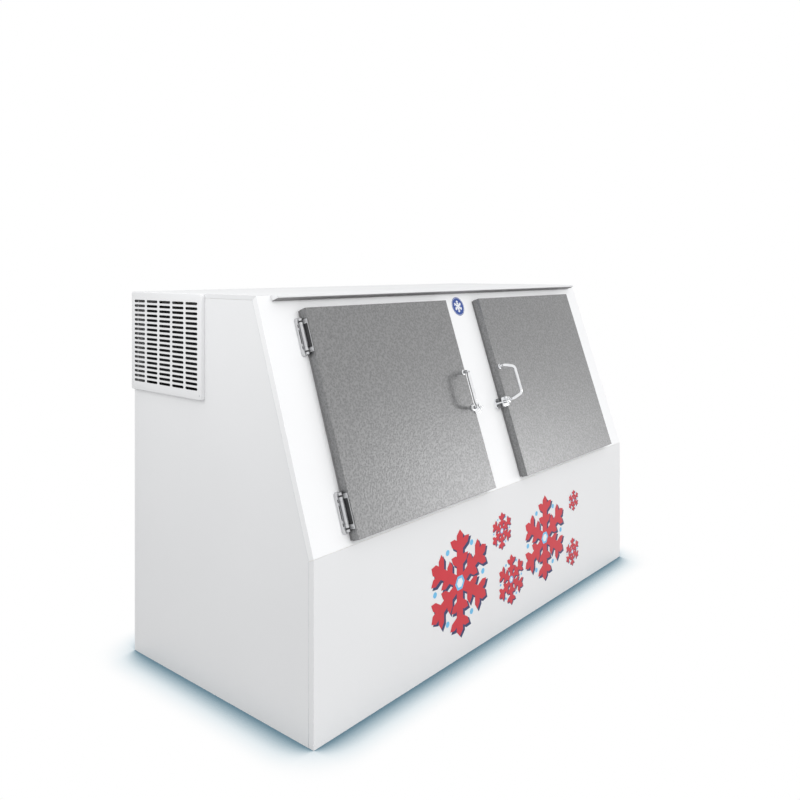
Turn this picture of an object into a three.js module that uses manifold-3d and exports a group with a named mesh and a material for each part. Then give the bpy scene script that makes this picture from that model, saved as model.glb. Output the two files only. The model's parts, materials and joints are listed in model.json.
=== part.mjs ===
// Two-door ice merchandiser freezer with a slanted front.
// Millimetres. X runs to the right seen from the front, Y to the back, Z up.
// The origin is on the floor, under the middle of the cabinet.
import * as THREE from 'three';
import { mergeVertices } from 'three/addons/utils/BufferGeometryUtils.js';
import Module from 'manifold-3d';

const wasm = await Module();
wasm.setup();

// ---------------------------------------------------------------- driving dimensions

const fit = 0.3; // clearance between pieces that touch
const seam = 0.2; // each skin stops this far short of its mitre line

const cabinet = {
  width: 1970,
  depth: 915,
  height: 1270,
  breakHeight: 535, // the front is upright below this and slants back above it
  topSetback: 250, // how far back the slanted front has come at the top
  wall: 52, // outer skin to liner, insulation between
};
const skin = {
  sheet: 1.2,
  frontReturn: 20, // each face wraps round onto the cabinet's sides by its return
  slantReturn: 22,
  topReturn: 14,
  backReturn: 20,
};
const pan = { sheet: 1.5, flange: 24 };
const linerSheet = 1;
const throatSheet = 2.5;

const door = {
  width: 725,
  height: 710,
  gap: 216, // between the two doors, over the mullion
  fromBreak: 12, // door's lower edge above the break line, along the slant
  lap: 32, // how far a door overlaps its opening on each side
  gasket: 9,
  thickness: 28,
  sheet: 1.2,
  linerSheet: 1.5,
  plugDepth: 16, // raised back of the door that enters the throat
  plugClearance: 7,
  plugDraft: 8,
};
const gasket = { width: 22, inset: 4.5, pleat: 2.4 };
const hinge = {
  length: 124,
  fromEnd: 86, // hinge centre to the door's end
  pinOffset: 11, // pin axis outside the door's side
  pinHeight: 13.5, // pin axis above the slanted face
  pinRadius: 2.6,
  knuckleRadius: 5.6,
  knuckleLength: 66, // the door leaf's middle knuckle
  leafWidth: 21,
  leafHeight: 8.5,
  leafEndRadius: 9.5,
  bevel: 1.8,
  slotWidth: 4, // of the three grooves that run in line down the fixed leaf
  slotDepth: 3,
  longSlot: 45,
  shortSlot: 11,
  slotSpace: 6.5, // between one groove and the next
  webHalf: 2.5,
  plateThickness: 3,
  plateLength: 104,
  plateFrom: 6, // plate's lower edge above the slanted face
  plateShort: 3, // and its upper edge below the door's face
};
const handle = {
  aboveMiddle: 7, // handle's middle above the door's middle
  footSpacing: 134,
  gripLength: 81, // straight part between the bends
  bendRadius: 12.5,
  kneeRise: 24, // where each leg turns towards the grip, above the door's face
  rise: 46, // grip axis above the door's face
  lean: 34, // grip axis moved away from the door's edge
  fromEdge: 14, // foot axis inside the door's edge
  radius: 6.5,
  footRadius: 10,
  footHeight: 3,
};
const hasp = {
  thickness: 3,
  height: 37,
  onDoor: 8,
  reach: 34, // beyond the door's edge, over the mullion
  belowFoot: 4, // hasp axis below the axis of the handle's lower foot
  earMargin: 2, // round the handle's foot, which clamps the hasp's ear
  cornerRadius: 6,
  slotLength: 28,
  slotWidth: 12,
  wire: 3,
  stapleOut: 17.5, // staple axis outside the door's edge
  stapleSpan: 16, // between the axes of the staple's legs
  stapleRise: 17, // staple's crown axis above the hasp
  baseLength: 31,
  baseThickness: 8,
};
const vent = {
  width: 407,
  height: 342,
  fromBack: 4,
  proud: 15,
  sheet: 1.5,
  rim: 3, // the pressed edge's bevel
  cornerRadius: 7,
  columns: 5,
  rows: 18,
  slotLength: 66,
  slotHeight: 9,
  columnPitch: 75.5,
  rowPitch: 16.2,
  fieldRise: 1, // slot field's middle above the cover's middle
  lap: 14, // how far the cover laps over the side panel round its airway
  rearLap: 5, // and where the airway would otherwise reach the side panel's folds
};
const cap = { halfLength: 929, below: 18, reach: 33, sheet: 1.2 };
const machine = {
  width: 640, // from the cabinet's left side
  depth: 410, // from the cabinet's back
  height: 335, // from the cabinet's top
  wall: 50,
};
const louvre = { count: 12, length: 380, height: 7, pitch: 16 };
const unit = {
  sheet: 2,
  flange: 14,
  coilThickness: 52,
  coilSetback: 22, // coil behind the side skin
  coilWidth: 340,
  coilHeight: 278,
  finPitch: 10,
  shroudDepth: 40,
  shroudSheet: 1.5,
  ringProud: 10,
  ringWall: 2,
  fanProud: 2,
  fanRadius: 118,
  hubRadius: 26,
  hubLength: 26,
  motorRadius: 36,
  motorLength: 62,
  armWidth: 20,
  shaftRadius: 4,
  compressorRadius: 84,
  compressorHeight: 196,
  dome: 46, // the rounded heights of the compressor's top and foot
  heel: 24,
  canFloor: 12,
  weldProud: 3,
  padRadius: 11,
  footBar: 28,
  footSheet: 4,
  footSpread: 60, // foot bars to the compressor's middle
  terminals: 58,
  terminalsProud: 26,
  dischargeRadius: 5,
  dischargeReach: 30,
  suctionLevel: 0.4, // where the suction line meets the compressor, as a share of its height
};
const evaporator = {
  length: 262,
  height: 236,
  sheet: 1.2,
  fromBulkhead: 34,
  fromBack: 12, // housing to the liner's back
  coilLength: 120,
  finPitch: 11,
  pipeRoom: 14, // between the housing's open end and the coil, beside the suction line
  bendRoom: 26, // for the coil's return bends
  ringProud: 8,
  ringWall: 1.5,
  fanRecess: 4,
  fanRadius: 92,
  hubRadius: 20,
  hubLength: 22,
  motorRadius: 27,
  motorLength: 44,
  armWidth: 24,
};
const coil = {
  finDepth: 5, // how deep the gaps between fins are drawn
  finGap: 0.45, // share of the pitch that is gap
  plate: 2,
  clear: 6, // between the finned block and what is under and over it
  bendTube: 4,
  bends: 5,
};
const blade = { count: 4, halfSpread: 0.42, pitch: 0.5, sheet: 1.6, clearance: 6 };
// The bar behind a motor's front, which carries it.
const motorArm = { x: 8, sheet: 3, boltOut: 12, past: 3, footWidth: 16, foot: 5 };
const motorEnd = { radius: 0.6, length: 0.14 }; // a motor can's coned ends, as shares of its size
const controls = {
  width: 84,
  depth: 76,
  height: 150,
  fromBulkhead: 2,
  belowGland: 30,
  lidLap: 1.5,
  lidDepth: 14,
  lidProud: 8,
  glandRadius: 11,
  glandProud: 12,
  glandRoot: 5, // the gland's neck inside the box's back
  wireReach: 20, // the wire's hole to either side of the back panel's face
  glandLevel: 0.42, // the gland's height, as a share of the machine space's
  nut: 3, // wider than the gland's neck by this
  nutHeight: 6,
  knobRadius: 19,
  knobHeight: 17,
  knobLevel: 0.66, // the knob's height, as a share of the box's
  knobRim: 4,
  knobWaist: 0.78, // the grip's radius at its foot and its top, as shares of the rim's
  knobTop: 0.72,
  shaftRadius: 3,
  pointer: 2,
  pointerRoot: 3,
  pointerLength: 0.7, // as a share of the rim's radius
};
const port = {
  radius: 24,
  suctionRadius: 8,
  suctionAbove: 10, // the suction line above the port's middle
  liquidRadius: 3.6,
  liquidBelow: 13,
  liquidAside: 3,
  level: 0.62, // the port's height, as a share of the machine space's
};
const drier = {
  radius: 11,
  straight: 38, // its profile turns at these distances from its middle
  cone: 52,
  half: 58,
  fromBulkhead: 150,
  foot: 12,
  footHalfWidth: 4,
};
const run = {
  suctionOut: 34, // the suction line's first reach away from the compressor
  suctionBend: 20,
  liquidBend: 24,
  liquidLevel: 24,
  fromBulkhead: 40,
  beside: 50, // the liquid line behind the compressor's side
};

// ---------------------------------------------------------------- finishes

const finish = (name, color, roughness, metalness) =>
  new THREE.MeshStandardMaterial({ name, color, roughness, metalness });
const white = finish('white enamel', 0xe9eaeb, 0.35, 0.1);
const embossed = finish('embossed aluminium', 0x9a9b9c, 0.4, 0.9);
const chrome = finish('chrome', 0xd8dadd, 0.12, 1);
const galvanised = finish('galvanised steel', 0xb4b8ba, 0.45, 0.8);
const rubber = finish('grey rubber', 0x4c4a4c, 0.85, 0);
const plastic = finish('white plastic', 0xe4e5e4, 0.6, 0);
const foam = finish('insulation foam', 0xe3d9ae, 0.9, 0);
const blackPaint = finish('black paint', 0x1b1c1e, 0.5, 0.2);
const fins = finish('coil fins', 0xa8abad, 0.45, 0.85);
const copper = finish('copper tube', 0xb87148, 0.35, 0.9);

// ---------------------------------------------------------------- solids

function toSolid(geometry) {
  const bare = geometry.clone();
  bare.deleteAttribute('normal');
  bare.deleteAttribute('uv');
  const welded = mergeVertices(bare, 1e-4);
  return new wasm.Manifold(new wasm.Mesh({
    numProp: 3,
    vertProperties: new Float32Array(welded.attributes.position.array),
    triVerts: new Uint32Array(welded.index.array),
  }));
}

function toGeometry(solid) {
  const mesh = solid.getMesh();
  const geometry = new THREE.BufferGeometry();
  const positions = new Float32Array(mesh.vertProperties);
  geometry.setAttribute('position', new THREE.BufferAttribute(positions, 3));
  geometry.setIndex(new THREE.BufferAttribute(new Uint32Array(mesh.triVerts), 1));
  geometry.computeVertexNormals();
  return geometry;
}

const join = (first, ...others) =>
  toGeometry(others.reduce((sum, next) => sum.add(toSolid(next)), toSolid(first)));
const cut = (body, ...tools) =>
  toGeometry(tools.reduce((rest, tool) => rest.subtract(toSolid(tool)), toSolid(body)));

function box(x, y, z) {
  const geometry = new THREE.BoxGeometry(x[1] - x[0], y[1] - y[0], z[1] - z[0]);
  return geometry.translate((x[0] + x[1]) / 2, (y[0] + y[1]) / 2, (z[0] + z[1]) / 2);
}

// Turns (shape x, shape y, depth) into (Y, Z, X).
const ontoYZ = new THREE.Matrix4().makeBasis(
  new THREE.Vector3(0, 1, 0),
  new THREE.Vector3(0, 0, 1),
  new THREE.Vector3(1, 0, 0),
);
// Turns (shape x, shape y, depth) into (X, Z, -Y).
const ontoXZ = new THREE.Matrix4().makeRotationX(Math.PI / 2);

function shapeOf(points) {
  return new THREE.Shape(points.map(([a, b]) => new THREE.Vector2(a, b)));
}

function extrude(shape, length, options = {}) {
  const settings = { depth: length, bevelEnabled: false, curveSegments: 2, ...options };
  return new THREE.ExtrudeGeometry(shape, settings);
}

// A prism along X whose section is given as [y, z] points.
function prismX(points, x0, x1) {
  return extrude(shapeOf(points), x1 - x0).applyMatrix4(ontoYZ).translate(x0, 0, 0);
}

const ALONG = {
  x: (geometry) => geometry.rotateZ(-Math.PI / 2),
  y: (geometry) => geometry,
  z: (geometry) => geometry.rotateX(Math.PI / 2),
};

function rod(axis, radius, from, to, at, sides = 16) {
  const geometry = new THREE.CylinderGeometry(radius, radius, to - from, sides);
  const middle = (from + to) / 2;
  ALONG[axis](geometry);
  if (axis === 'x') return geometry.translate(middle, at[0], at[1]);
  if (axis === 'y') return geometry.translate(at[0], middle, at[1]);
  return geometry.translate(at[0], at[1], middle);
}

function roundedRectangle(width, height, radius, x = 0, y = 0) {
  const shape = new THREE.Shape();
  const right = x + width / 2 - radius;
  const left = x - width / 2 + radius;
  const top = y + height / 2 - radius;
  const bottom = y - height / 2 + radius;
  shape.absarc(right, bottom, radius, -Math.PI / 2, 0);
  shape.absarc(right, top, radius, 0, Math.PI / 2);
  shape.absarc(left, top, radius, Math.PI / 2, Math.PI);
  shape.absarc(left, bottom, radius, Math.PI, 1.5 * Math.PI);
  return shape;
}

const slotted = { curveSegments: 1.5 }; // three facets to each rounded slot end

// A slot with semicircular ends, its length along x unless it is taller than wide.
function slotShape(width, height, x, y) {
  const radius = Math.min(width, height) / 2;
  const reach = Math.max(width, height) / 2 - radius;
  const shape = new THREE.Shape();
  if (width > height) {
    shape.absarc(x + reach, y, radius, -Math.PI / 2, Math.PI / 2);
    shape.absarc(x - reach, y, radius, Math.PI / 2, 1.5 * Math.PI);
  } else {
    shape.absarc(x, y + reach, radius, 0, Math.PI);
    shape.absarc(x, y - reach, radius, Math.PI, 2 * Math.PI);
  }
  return shape;
}

// A round bar or pipe through corner points, each corner bent to a radius.
function bentPath(corners, radius) {
  const path = new THREE.CurvePath();
  let last = corners[0].clone();
  for (let i = 1; i < corners.length - 1; i += 1) {
    const into = corners[i].clone().sub(corners[i - 1]).normalize();
    const away = corners[i + 1].clone().sub(corners[i]).normalize();
    const start = corners[i].clone().addScaledVector(into, -radius);
    const end = corners[i].clone().addScaledVector(away, radius);
    path.add(new THREE.LineCurve3(last, start));
    path.add(new THREE.QuadraticBezierCurve3(start, corners[i].clone(), end));
    last = end;
  }
  path.add(new THREE.LineCurve3(last, corners[corners.length - 1].clone()));
  return path;
}

function tube(path, radius, steps, sides = 8) {
  const section = new THREE.Shape();
  section.absarc(0, 0, radius, 0, 2 * Math.PI);
  return new THREE.ExtrudeGeometry(section, {
    extrudePath: path,
    steps,
    curveSegments: sides / 2, // an arc gets two points for each segment
    bevelEnabled: false,
  });
}

// The other-handed copy of a piece, mirrored across the plane x = 0.
function mirrored(geometry) {
  const copy = geometry.index ? geometry.clone() : mergeVertices(geometry);
  copy.scale(-1, 1, 1);
  const order = copy.index.array;
  for (let i = 0; i < order.length; i += 3) [order[i], order[i + 1]] = [order[i + 1], order[i]];
  copy.computeVertexNormals();
  return copy;
}

const group = new THREE.Group();

function place(parent, name, geometry, material) {
  const mesh = new THREE.Mesh(geometry, material);
  mesh.name = name;
  parent.add(mesh);
  return mesh;
}

// ---------------------------------------------------------------- the cabinet's section

const halfWidth = cabinet.width / 2;
const halfDepth = cabinet.depth / 2;
const slantRise = cabinet.height - cabinet.breakHeight;
const slantAngle = Math.atan2(cabinet.topSetback, slantRise);
const slantLength = Math.hypot(cabinet.topSetback, slantRise);

// The section's corners as [y, z], up the front, over the top and down the back.
const FRONT = 0;
const SLANT = 1;
const TOP = 2;
const BACK = 3;
const BASE = 4;
const corners = [
  [-halfDepth, 0],
  [-halfDepth, cabinet.breakHeight],
  [-halfDepth + cabinet.topSetback, cabinet.height],
  [halfDepth, cabinet.height],
  [halfDepth, 0],
];

// The section with each edge moved inwards by its own distance.
function inset(distances) {
  const lines = corners.map((p, i) => {
    const q = corners[(i + 1) % corners.length];
    const length = Math.hypot(q[0] - p[0], q[1] - p[1]);
    const normal = [(q[1] - p[1]) / length, (p[0] - q[0]) / length];
    return { normal, offset: normal[0] * p[0] + normal[1] * p[1] + distances[i] };
  });
  return lines.map((line, i) => {
    const before = lines[(i + lines.length - 1) % lines.length];
    const det = before.normal[0] * line.normal[1] - before.normal[1] * line.normal[0];
    return [
      (before.offset * line.normal[1] - before.normal[1] * line.offset) / det,
      (before.normal[0] * line.offset - before.offset * line.normal[0]) / det,
    ];
  });
}

const between = (p, q, share) => [p[0] + (q[0] - p[0]) * share, p[1] + (q[1] - p[1]) * share];

// The part of a wall along one edge, mitred at both ends, with a seam left at each mitre.
function mitred(edge, outer, inner) {
  const next = (edge + 1) % corners.length;
  const shorten = (p, q) => between(p, q, seam / Math.hypot(q[0] - p[0], q[1] - p[1]));
  return [
    shorten(outer[edge], outer[next]),
    shorten(outer[next], outer[edge]),
    shorten(inner[next], inner[edge]),
    shorten(inner[edge], inner[next]),
  ];
}

// A point of the section given along the slant from the break line and out from its face.
function onSlant(along, out) {
  const sin = Math.sin(slantAngle);
  const cos = Math.cos(slantAngle);
  return [-halfDepth + along * sin - out * cos, cabinet.breakHeight + along * cos + out * sin];
}

// ---------------------------------------------------------------- openings and the machine space

const doorFromMiddle = door.gap / 2 + door.width / 2;
const doorTop = door.fromBreak + door.height;
const opening = {
  halfWidth: door.width / 2 - door.lap,
  bottom: door.fromBreak + door.lap,
  top: doorTop - door.lap,
};
const throatGap = throatSheet + fit;
const sides = [
  { name: 'left', sign: -1 },
  { name: 'right', sign: 1 },
];

const machineRight = -halfWidth + machine.width;
const machineFront = halfDepth - machine.depth;
const machineFloor = cabinet.height - machine.height;
const far = 2 * cabinet.width;

// The machine space with walls of the given thickness, running out past the cabinet's corner.
function machineBlock(wall) {
  return box([-far, machineRight + wall], [machineFront - wall, far], [machineFloor - wall, far]);
}

// Everything along the slant is drawn in (across, along, out) and turned onto the cabinet here.
const slantTurn = new THREE.Matrix4()
  .makeRotationX(Math.PI / 2 - slantAngle)
  .setPosition(0, -halfDepth, cabinet.breakHeight);
const slanted = (geometry) => geometry.applyMatrix4(slantTurn);
const slantGroup = new THREE.Group();
slantGroup.applyMatrix4(slantTurn);
group.add(slantGroup);

// ---------------------------------------------------------------- outer skins

const returns = [skin.frontReturn, skin.slantReturn, skin.topReturn, skin.backReturn, 0];
const outerSection = inset([0, 0, 0, 0, 0]);
const returnSection = inset(returns);

// A face sheet across the whole width with a return folded onto each side: the solid
// mitred strip, hollowed from inside.
function foldedSkin(edge) {
  const p = corners[edge];
  const q = corners[(edge + 1) % corners.length];
  const length = Math.hypot(q[0] - p[0], q[1] - p[1]);
  const along = [(q[0] - p[0]) / length, (q[1] - p[1]) / length];
  const at = (run, deep) => [
    p[0] + along[0] * run + along[1] * deep,
    p[1] + along[1] * run - along[0] * deep,
  ];
  const past = 2 * returns[edge];
  const hollow = [
    at(-past, skin.sheet),
    at(length + past, skin.sheet),
    at(length + past, past),
    at(-past, past),
  ];
  return cut(
    prismX(mitred(edge, outerSection, returnSection), -halfWidth, halfWidth),
    prismX(hollow, -halfWidth + skin.sheet, halfWidth - skin.sheet),
  );
}

function doorOpening(sign, extra, outTo, inTo) {
  const across = sign * doorFromMiddle;
  const half = opening.halfWidth + extra;
  return box([across - half, across + half], [opening.bottom - extra, opening.top + extra], [inTo, outTo]);
}

function outerSkins() {
  place(group, 'front_lower_panel', foldedSkin(FRONT), white);
  const mouths = sides.map(({ sign }) => slanted(doorOpening(sign, 0, door.lap, -door.lap)));
  place(group, 'front_frame', cut(foldedSkin(SLANT), ...mouths), white);
  place(group, 'top_panel', foldedSkin(TOP), white);

  const louvreMiddle = (-halfWidth + machineRight) / 2;
  const louvres = [];
  for (let i = 0; i < louvre.count; i += 1) {
    const z = machineFloor + machine.height / 2 + (i - (louvre.count - 1) / 2) * louvre.pitch;
    const slot = slotShape(louvre.length, louvre.height, louvreMiddle, z);
    const punch = extrude(slot, 4 * skin.sheet, slotted).applyMatrix4(ontoXZ);
    louvres.push(punch.translate(0, halfDepth + 2 * skin.sheet, 0));
  }
  const through = [halfDepth - 2 * skin.sheet, halfDepth + skin.sheet];
  const glandHole = rod('y', controls.glandRadius + 2 * fit, ...through, glandAt);
  place(group, 'back_panel', cut(foldedSkin(BACK), ...louvres, glandHole), white);

  const panelSection = inset(returns.map((distance) => (distance > 0 ? distance + fit : 0)));
  const right = prismX(panelSection, halfWidth - skin.sheet, halfWidth);
  const left = prismX(panelSection, -halfWidth, -halfWidth + skin.sheet);
  const airway = box(
    [-far, -halfWidth + 2 * skin.sheet],
    [halfDepth - vent.fromBack - vent.width + vent.lap, halfDepth - skin.backReturn - fit - vent.rearLap],
    [cabinet.height - vent.height + vent.lap, cabinet.height - skin.topReturn - fit - vent.rearLap],
  );
  place(group, 'side_panel_left', cut(left, airway), white);
  place(group, 'side_panel_right', right, white);
}

function basePan() {
  const x = halfWidth - skin.sheet - fit;
  const y = halfDepth - skin.sheet - fit;
  const tray = box([-x, x], [-y, y], [0, pan.flange]);
  const inside = box(
    [-x + pan.sheet, x - pan.sheet],
    [-y + pan.sheet, y - pan.sheet],
    [pan.sheet, 2 * pan.flange],
  );
  place(group, 'base_pan', cut(tray, inside), galvanised);
}

// The rain cap along the top of the slanted front, a sheet box open towards the front frame.
function dripCap() {
  const outerFace = (out) => slantLength - out * Math.tan(slantAngle);
  const section = (back, shrink) => [
    onSlant(slantLength - cap.below + shrink, back),
    onSlant(slantLength - cap.below + shrink, cap.reach - shrink),
    onSlant(outerFace(cap.reach - shrink) - shrink, cap.reach - shrink),
    onSlant(outerFace(back) - shrink, back),
  ];
  const shell = prismX(section(fit, 0), -cap.halfLength, cap.halfLength);
  const hollow = prismX(section(-fit, cap.sheet), -cap.halfLength + cap.sheet, cap.halfLength - cap.sheet);
  place(group, 'drip_cap', cut(shell, hollow), white);
}

// ---------------------------------------------------------------- vent cover

// One pressed cover with its slot field, standing proud of the left side.
function ventCover() {
  const depth = vent.proud - fit;
  const outline = roundedRectangle(vent.width, vent.height, vent.cornerRadius);
  const pressing = extrude(outline, depth, {
    bevelEnabled: true,
    bevelThickness: vent.rim,
    bevelSize: vent.rim,
    bevelOffset: -vent.rim,
    bevelSegments: 2,
  }).translate(0, 0, -vent.rim);
  const squareBack = box([-far, far], [-far, far], [-far, 0]);
  const wall = 2 * vent.sheet + vent.rim;
  const inside = roundedRectangle(vent.width - wall, vent.height - wall, vent.cornerRadius);
  const hollow = extrude(inside, depth).translate(0, 0, -vent.sheet);
  const slots = [];
  for (let column = 0; column < vent.columns; column += 1) {
    for (let row = 0; row < vent.rows; row += 1) {
      const across = (column - (vent.columns - 1) / 2) * vent.columnPitch;
      const up = (row - (vent.rows - 1) / 2) * vent.rowPitch + vent.fieldRise;
      slots.push(slotShape(vent.slotLength, vent.slotHeight, across, up));
    }
  }
  const field = extrude(slots, 2 * depth, slotted);
  const cover = cut(pressing, squareBack, hollow, field);
  // The drawing's x becomes -Y and its depth becomes -X, so the cover faces left.
  cover.applyMatrix4(new THREE.Matrix4().makeBasis(
    new THREE.Vector3(0, -1, 0),
    new THREE.Vector3(0, 0, 1),
    new THREE.Vector3(-1, 0, 0),
  ));
  const mesh = place(group, 'vent_cover', cover, white);
  mesh.position.set(
    -halfWidth - fit,
    halfDepth - vent.fromBack - vent.width / 2,
    cabinet.height - vent.height / 2,
  );
}

// ---------------------------------------------------------------- insulation and liner

const boardOut = skin.sheet + pan.sheet + 2 * fit;
const boardIn = cabinet.wall - linerSheet - fit;
const boardOuter = inset([boardOut, boardOut, boardOut, boardOut, pan.sheet + fit]);
const boardInner = inset([boardIn, boardIn, boardIn, boardIn, boardIn]);
const crossHalf = halfWidth - boardIn - fit;
const machineBoard = machine.wall - linerSheet - fit;

function sideBoards() {
  const left = prismX(boardOuter, -halfWidth + boardOut, -halfWidth + boardIn);
  place(group, 'insulation_left', cut(left, machineBlock(machineBoard + fit)), foam);
  place(group, 'insulation_right', prismX(boardOuter, halfWidth - boardIn, halfWidth - boardOut), foam);
}

function crossBoards() {
  const across = (points) => prismX(points, -crossHalf, crossHalf);
  const notch = () => machineBlock(machineBoard + fit);
  place(group, 'insulation_floor', across(mitred(BASE, boardOuter, boardInner)), foam);
  place(group, 'insulation_back', cut(across(mitred(BACK, boardOuter, boardInner)), notch()), foam);
  place(group, 'insulation_ceiling', cut(across(mitred(TOP, boardOuter, boardInner)), notch()), foam);

  const sill = opening.bottom - throatGap;
  const head = opening.top + throatGap;
  const upright = mitred(FRONT, boardOuter, boardInner);
  const frontBoard = [
    upright[0],
    boardOuter[SLANT],
    onSlant(sill, -boardOut),
    onSlant(sill, -boardIn),
    boardInner[SLANT],
    upright[3],
  ];
  place(group, 'insulation_front', across(frontBoard), foam);
  const leaning = mitred(SLANT, boardOuter, boardInner);
  const header = [onSlant(head, -boardOut), leaning[1], leaning[2], onSlant(head, -boardIn)];
  place(group, 'insulation_header', across(header), foam);

  const post = [
    onSlant(sill + fit, -boardOut),
    onSlant(head - fit, -boardOut),
    onSlant(head - fit, -boardIn),
    onSlant(sill + fit, -boardIn),
  ];
  const openingEdge = doorFromMiddle + opening.halfWidth + throatGap;
  const mullionHalf = doorFromMiddle - opening.halfWidth - throatGap;
  place(group, 'insulation_stile_left', prismX(post, -crossHalf, -openingEdge), foam);
  place(group, 'insulation_mullion', prismX(post, -mullionHalf, mullionHalf), foam);
  place(group, 'insulation_stile_right', prismX(post, openingEdge, crossHalf), foam);
}

// Insulated shelf and L-shaped wall that keep the machine space out of the cold cavity.
function machineWalls() {
  const x = [-halfWidth + boardOut, machineRight + machineBoard];
  const y = [machineFront - machineBoard, halfDepth - boardOut];
  const shelf = box(x, y, [machineFloor - machineBoard, machineFloor]);
  place(group, 'machine_shelf', shelf, foam);
  const wall = box(x, y, [machineFloor + fit, cabinet.height - skin.sheet - fit]);
  const room = box([-far, machineRight], [machineFront, far], [0, far]);
  const pipeHole = rod('x', port.radius, machineRight - machine.wall, far, portAt);
  place(group, 'machine_wall', cut(wall, room, pipeHole), foam);
}

function innerLiner() {
  const shell = (distance, machineWall) => {
    const half = halfWidth - distance;
    const section = inset([distance, distance, distance, distance, distance]);
    return cut(prismX(section, -half, half), machineBlock(machineWall));
  };
  const outside = shell(cabinet.wall - linerSheet, machine.wall - linerSheet);
  const mouths = sides.map(({ sign }) => slanted(doorOpening(sign, throatGap, 0, -2 * cabinet.wall)));
  const pipeHole = rod('x', port.radius, machineRight, machineRight + 2 * machine.wall, portAt);
  const cavity = shell(cabinet.wall, machine.wall);
  place(group, 'inner_liner', cut(outside, cavity, ...mouths, pipeHole), galvanised);
}

function throats() {
  for (const { name, sign } of sides) {
    const outside = doorOpening(sign, throatSheet, -skin.sheet - fit, -cabinet.wall);
    const inside = doorOpening(sign, 0, 0, -2 * cabinet.wall);
    place(slantGroup, `throat_${name}`, cut(outside, inside), plastic);
  }
}

// ---------------------------------------------------------------- doors

// A door is drawn with its hinge side at x = 0, its lower edge at y = 0 and the slanted face at z = 0.
const doorFace = door.gasket + door.thickness;
const doorBack = door.gasket + door.linerSheet;
const hingeAt = [hinge.fromEnd, door.height - hinge.fromEnd];
const handleMiddle = door.height / 2 + handle.aboveMiddle;
const haspMiddle = handleMiddle - handle.footSpacing / 2 - hasp.belowFoot;

function doorSkin() {
  const pressing = box([0, door.width], [0, door.height], [door.gasket, doorFace]);
  const hollow = box(
    [door.sheet, door.width - door.sheet],
    [door.sheet, door.height - door.sheet],
    [0, doorFace - door.sheet],
  );
  return cut(pressing, hollow);
}

// A four-sided frustum for the door's plug, widest at the door and drafted towards the cold side.
function plug(shrink, from, to) {
  const edge = door.lap + door.plugClearance + shrink;
  const halfAcross = door.width / 2 - edge;
  const halfUp = door.height / 2 - edge;
  const depth = from - to;
  const draft = (door.plugDraft * depth) / door.plugDepth;
  const corner = Math.SQRT2; // four sides with their corners at one unit each way
  const frustum = new THREE.CylinderGeometry(corner, corner * (1 - draft / halfUp), depth, 4);
  frustum.rotateY(Math.PI / 4).rotateX(Math.PI / 2).scale(halfAcross, halfUp, 1);
  return frustum.translate(door.width / 2, door.height / 2, (from + to) / 2);
}

function doorLiner() {
  const edge = door.sheet + fit;
  const flange = box([edge, door.width - edge], [edge, door.height - edge], [door.gasket, doorBack]);
  const dish = plug(0, doorBack, doorBack - door.plugDepth);
  const hollow = plug(door.linerSheet, doorBack + fit, doorBack - door.plugDepth + door.linerSheet);
  return cut(join(flange, dish), hollow);
}

function doorCore() {
  const edge = door.sheet + fit;
  const slab = box([edge, door.width - edge], [edge, door.height - edge], [doorBack + fit, doorFace - edge]);
  const shrink = door.linerSheet + 2 * fit;
  const tongue = plug(shrink, doorBack + 3 * fit, doorBack - door.plugDepth + door.linerSheet + fit);
  return join(slab, tongue);
}

function doorGasket() {
  const outer = gasket.inset;
  const inner = outer + gasket.width;
  const z = [fit, door.gasket - fit];
  const ring = box([outer, door.width - outer], [outer, door.height - outer], z);
  const window = box([inner, door.width - inner], [inner, door.height - inner], [-1, door.gasket]);
  const middle = (z[0] + z[1]) / 2;
  const pleat = [middle - gasket.pleat / 2, middle + gasket.pleat / 2];
  const pleats = cut(
    box([0, door.width], [0, door.height], pleat),
    box(
      [outer + gasket.pleat, door.width - outer - gasket.pleat],
      [outer + gasket.pleat, door.height - outer - gasket.pleat],
      [pleat[0] - 1, pleat[1] + 1],
    ),
  );
  return cut(ring, window, pleats);
}

// A bent bar on two feet: the upper one stands on the door's face, the lower one on the hasp.
function doorHandle() {
  const footX = door.width - handle.fromEdge;
  const gripX = footX - handle.lean;
  const foot = handle.footSpacing / 2;
  const grip = handle.gripLength / 2 + handle.bendRadius;
  const knee = doorFace + handle.kneeRise;
  const top = doorFace + handle.rise;
  const lowerSeat = doorFace + hasp.thickness + 2 * fit;
  const upperSeat = doorFace + fit;
  const points = [
    new THREE.Vector3(footX, handleMiddle - foot, lowerSeat),
    new THREE.Vector3(footX, handleMiddle - foot, knee),
    new THREE.Vector3(gripX, handleMiddle - grip, top),
    new THREE.Vector3(gripX, handleMiddle + grip, top),
    new THREE.Vector3(footX, handleMiddle + foot, knee),
    new THREE.Vector3(footX, handleMiddle + foot, upperSeat),
  ];
  const bar = tube(bentPath(points, handle.bendRadius), handle.radius, 24, 8);
  const flange = () => new THREE.LatheGeometry([
    new THREE.Vector2(0, 0),
    new THREE.Vector2(handle.footRadius, 0),
    new THREE.Vector2(handle.footRadius, handle.footHeight / 2),
    new THREE.Vector2(handle.footRadius - handle.footHeight / 2, handle.footHeight),
    new THREE.Vector2(0, handle.footHeight),
  ], 12).rotateX(Math.PI / 2);
  return join(
    bar,
    flange().translate(footX, handleMiddle - foot, lowerSeat),
    flange().translate(footX, handleMiddle + foot, upperSeat),
  );
}

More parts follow.
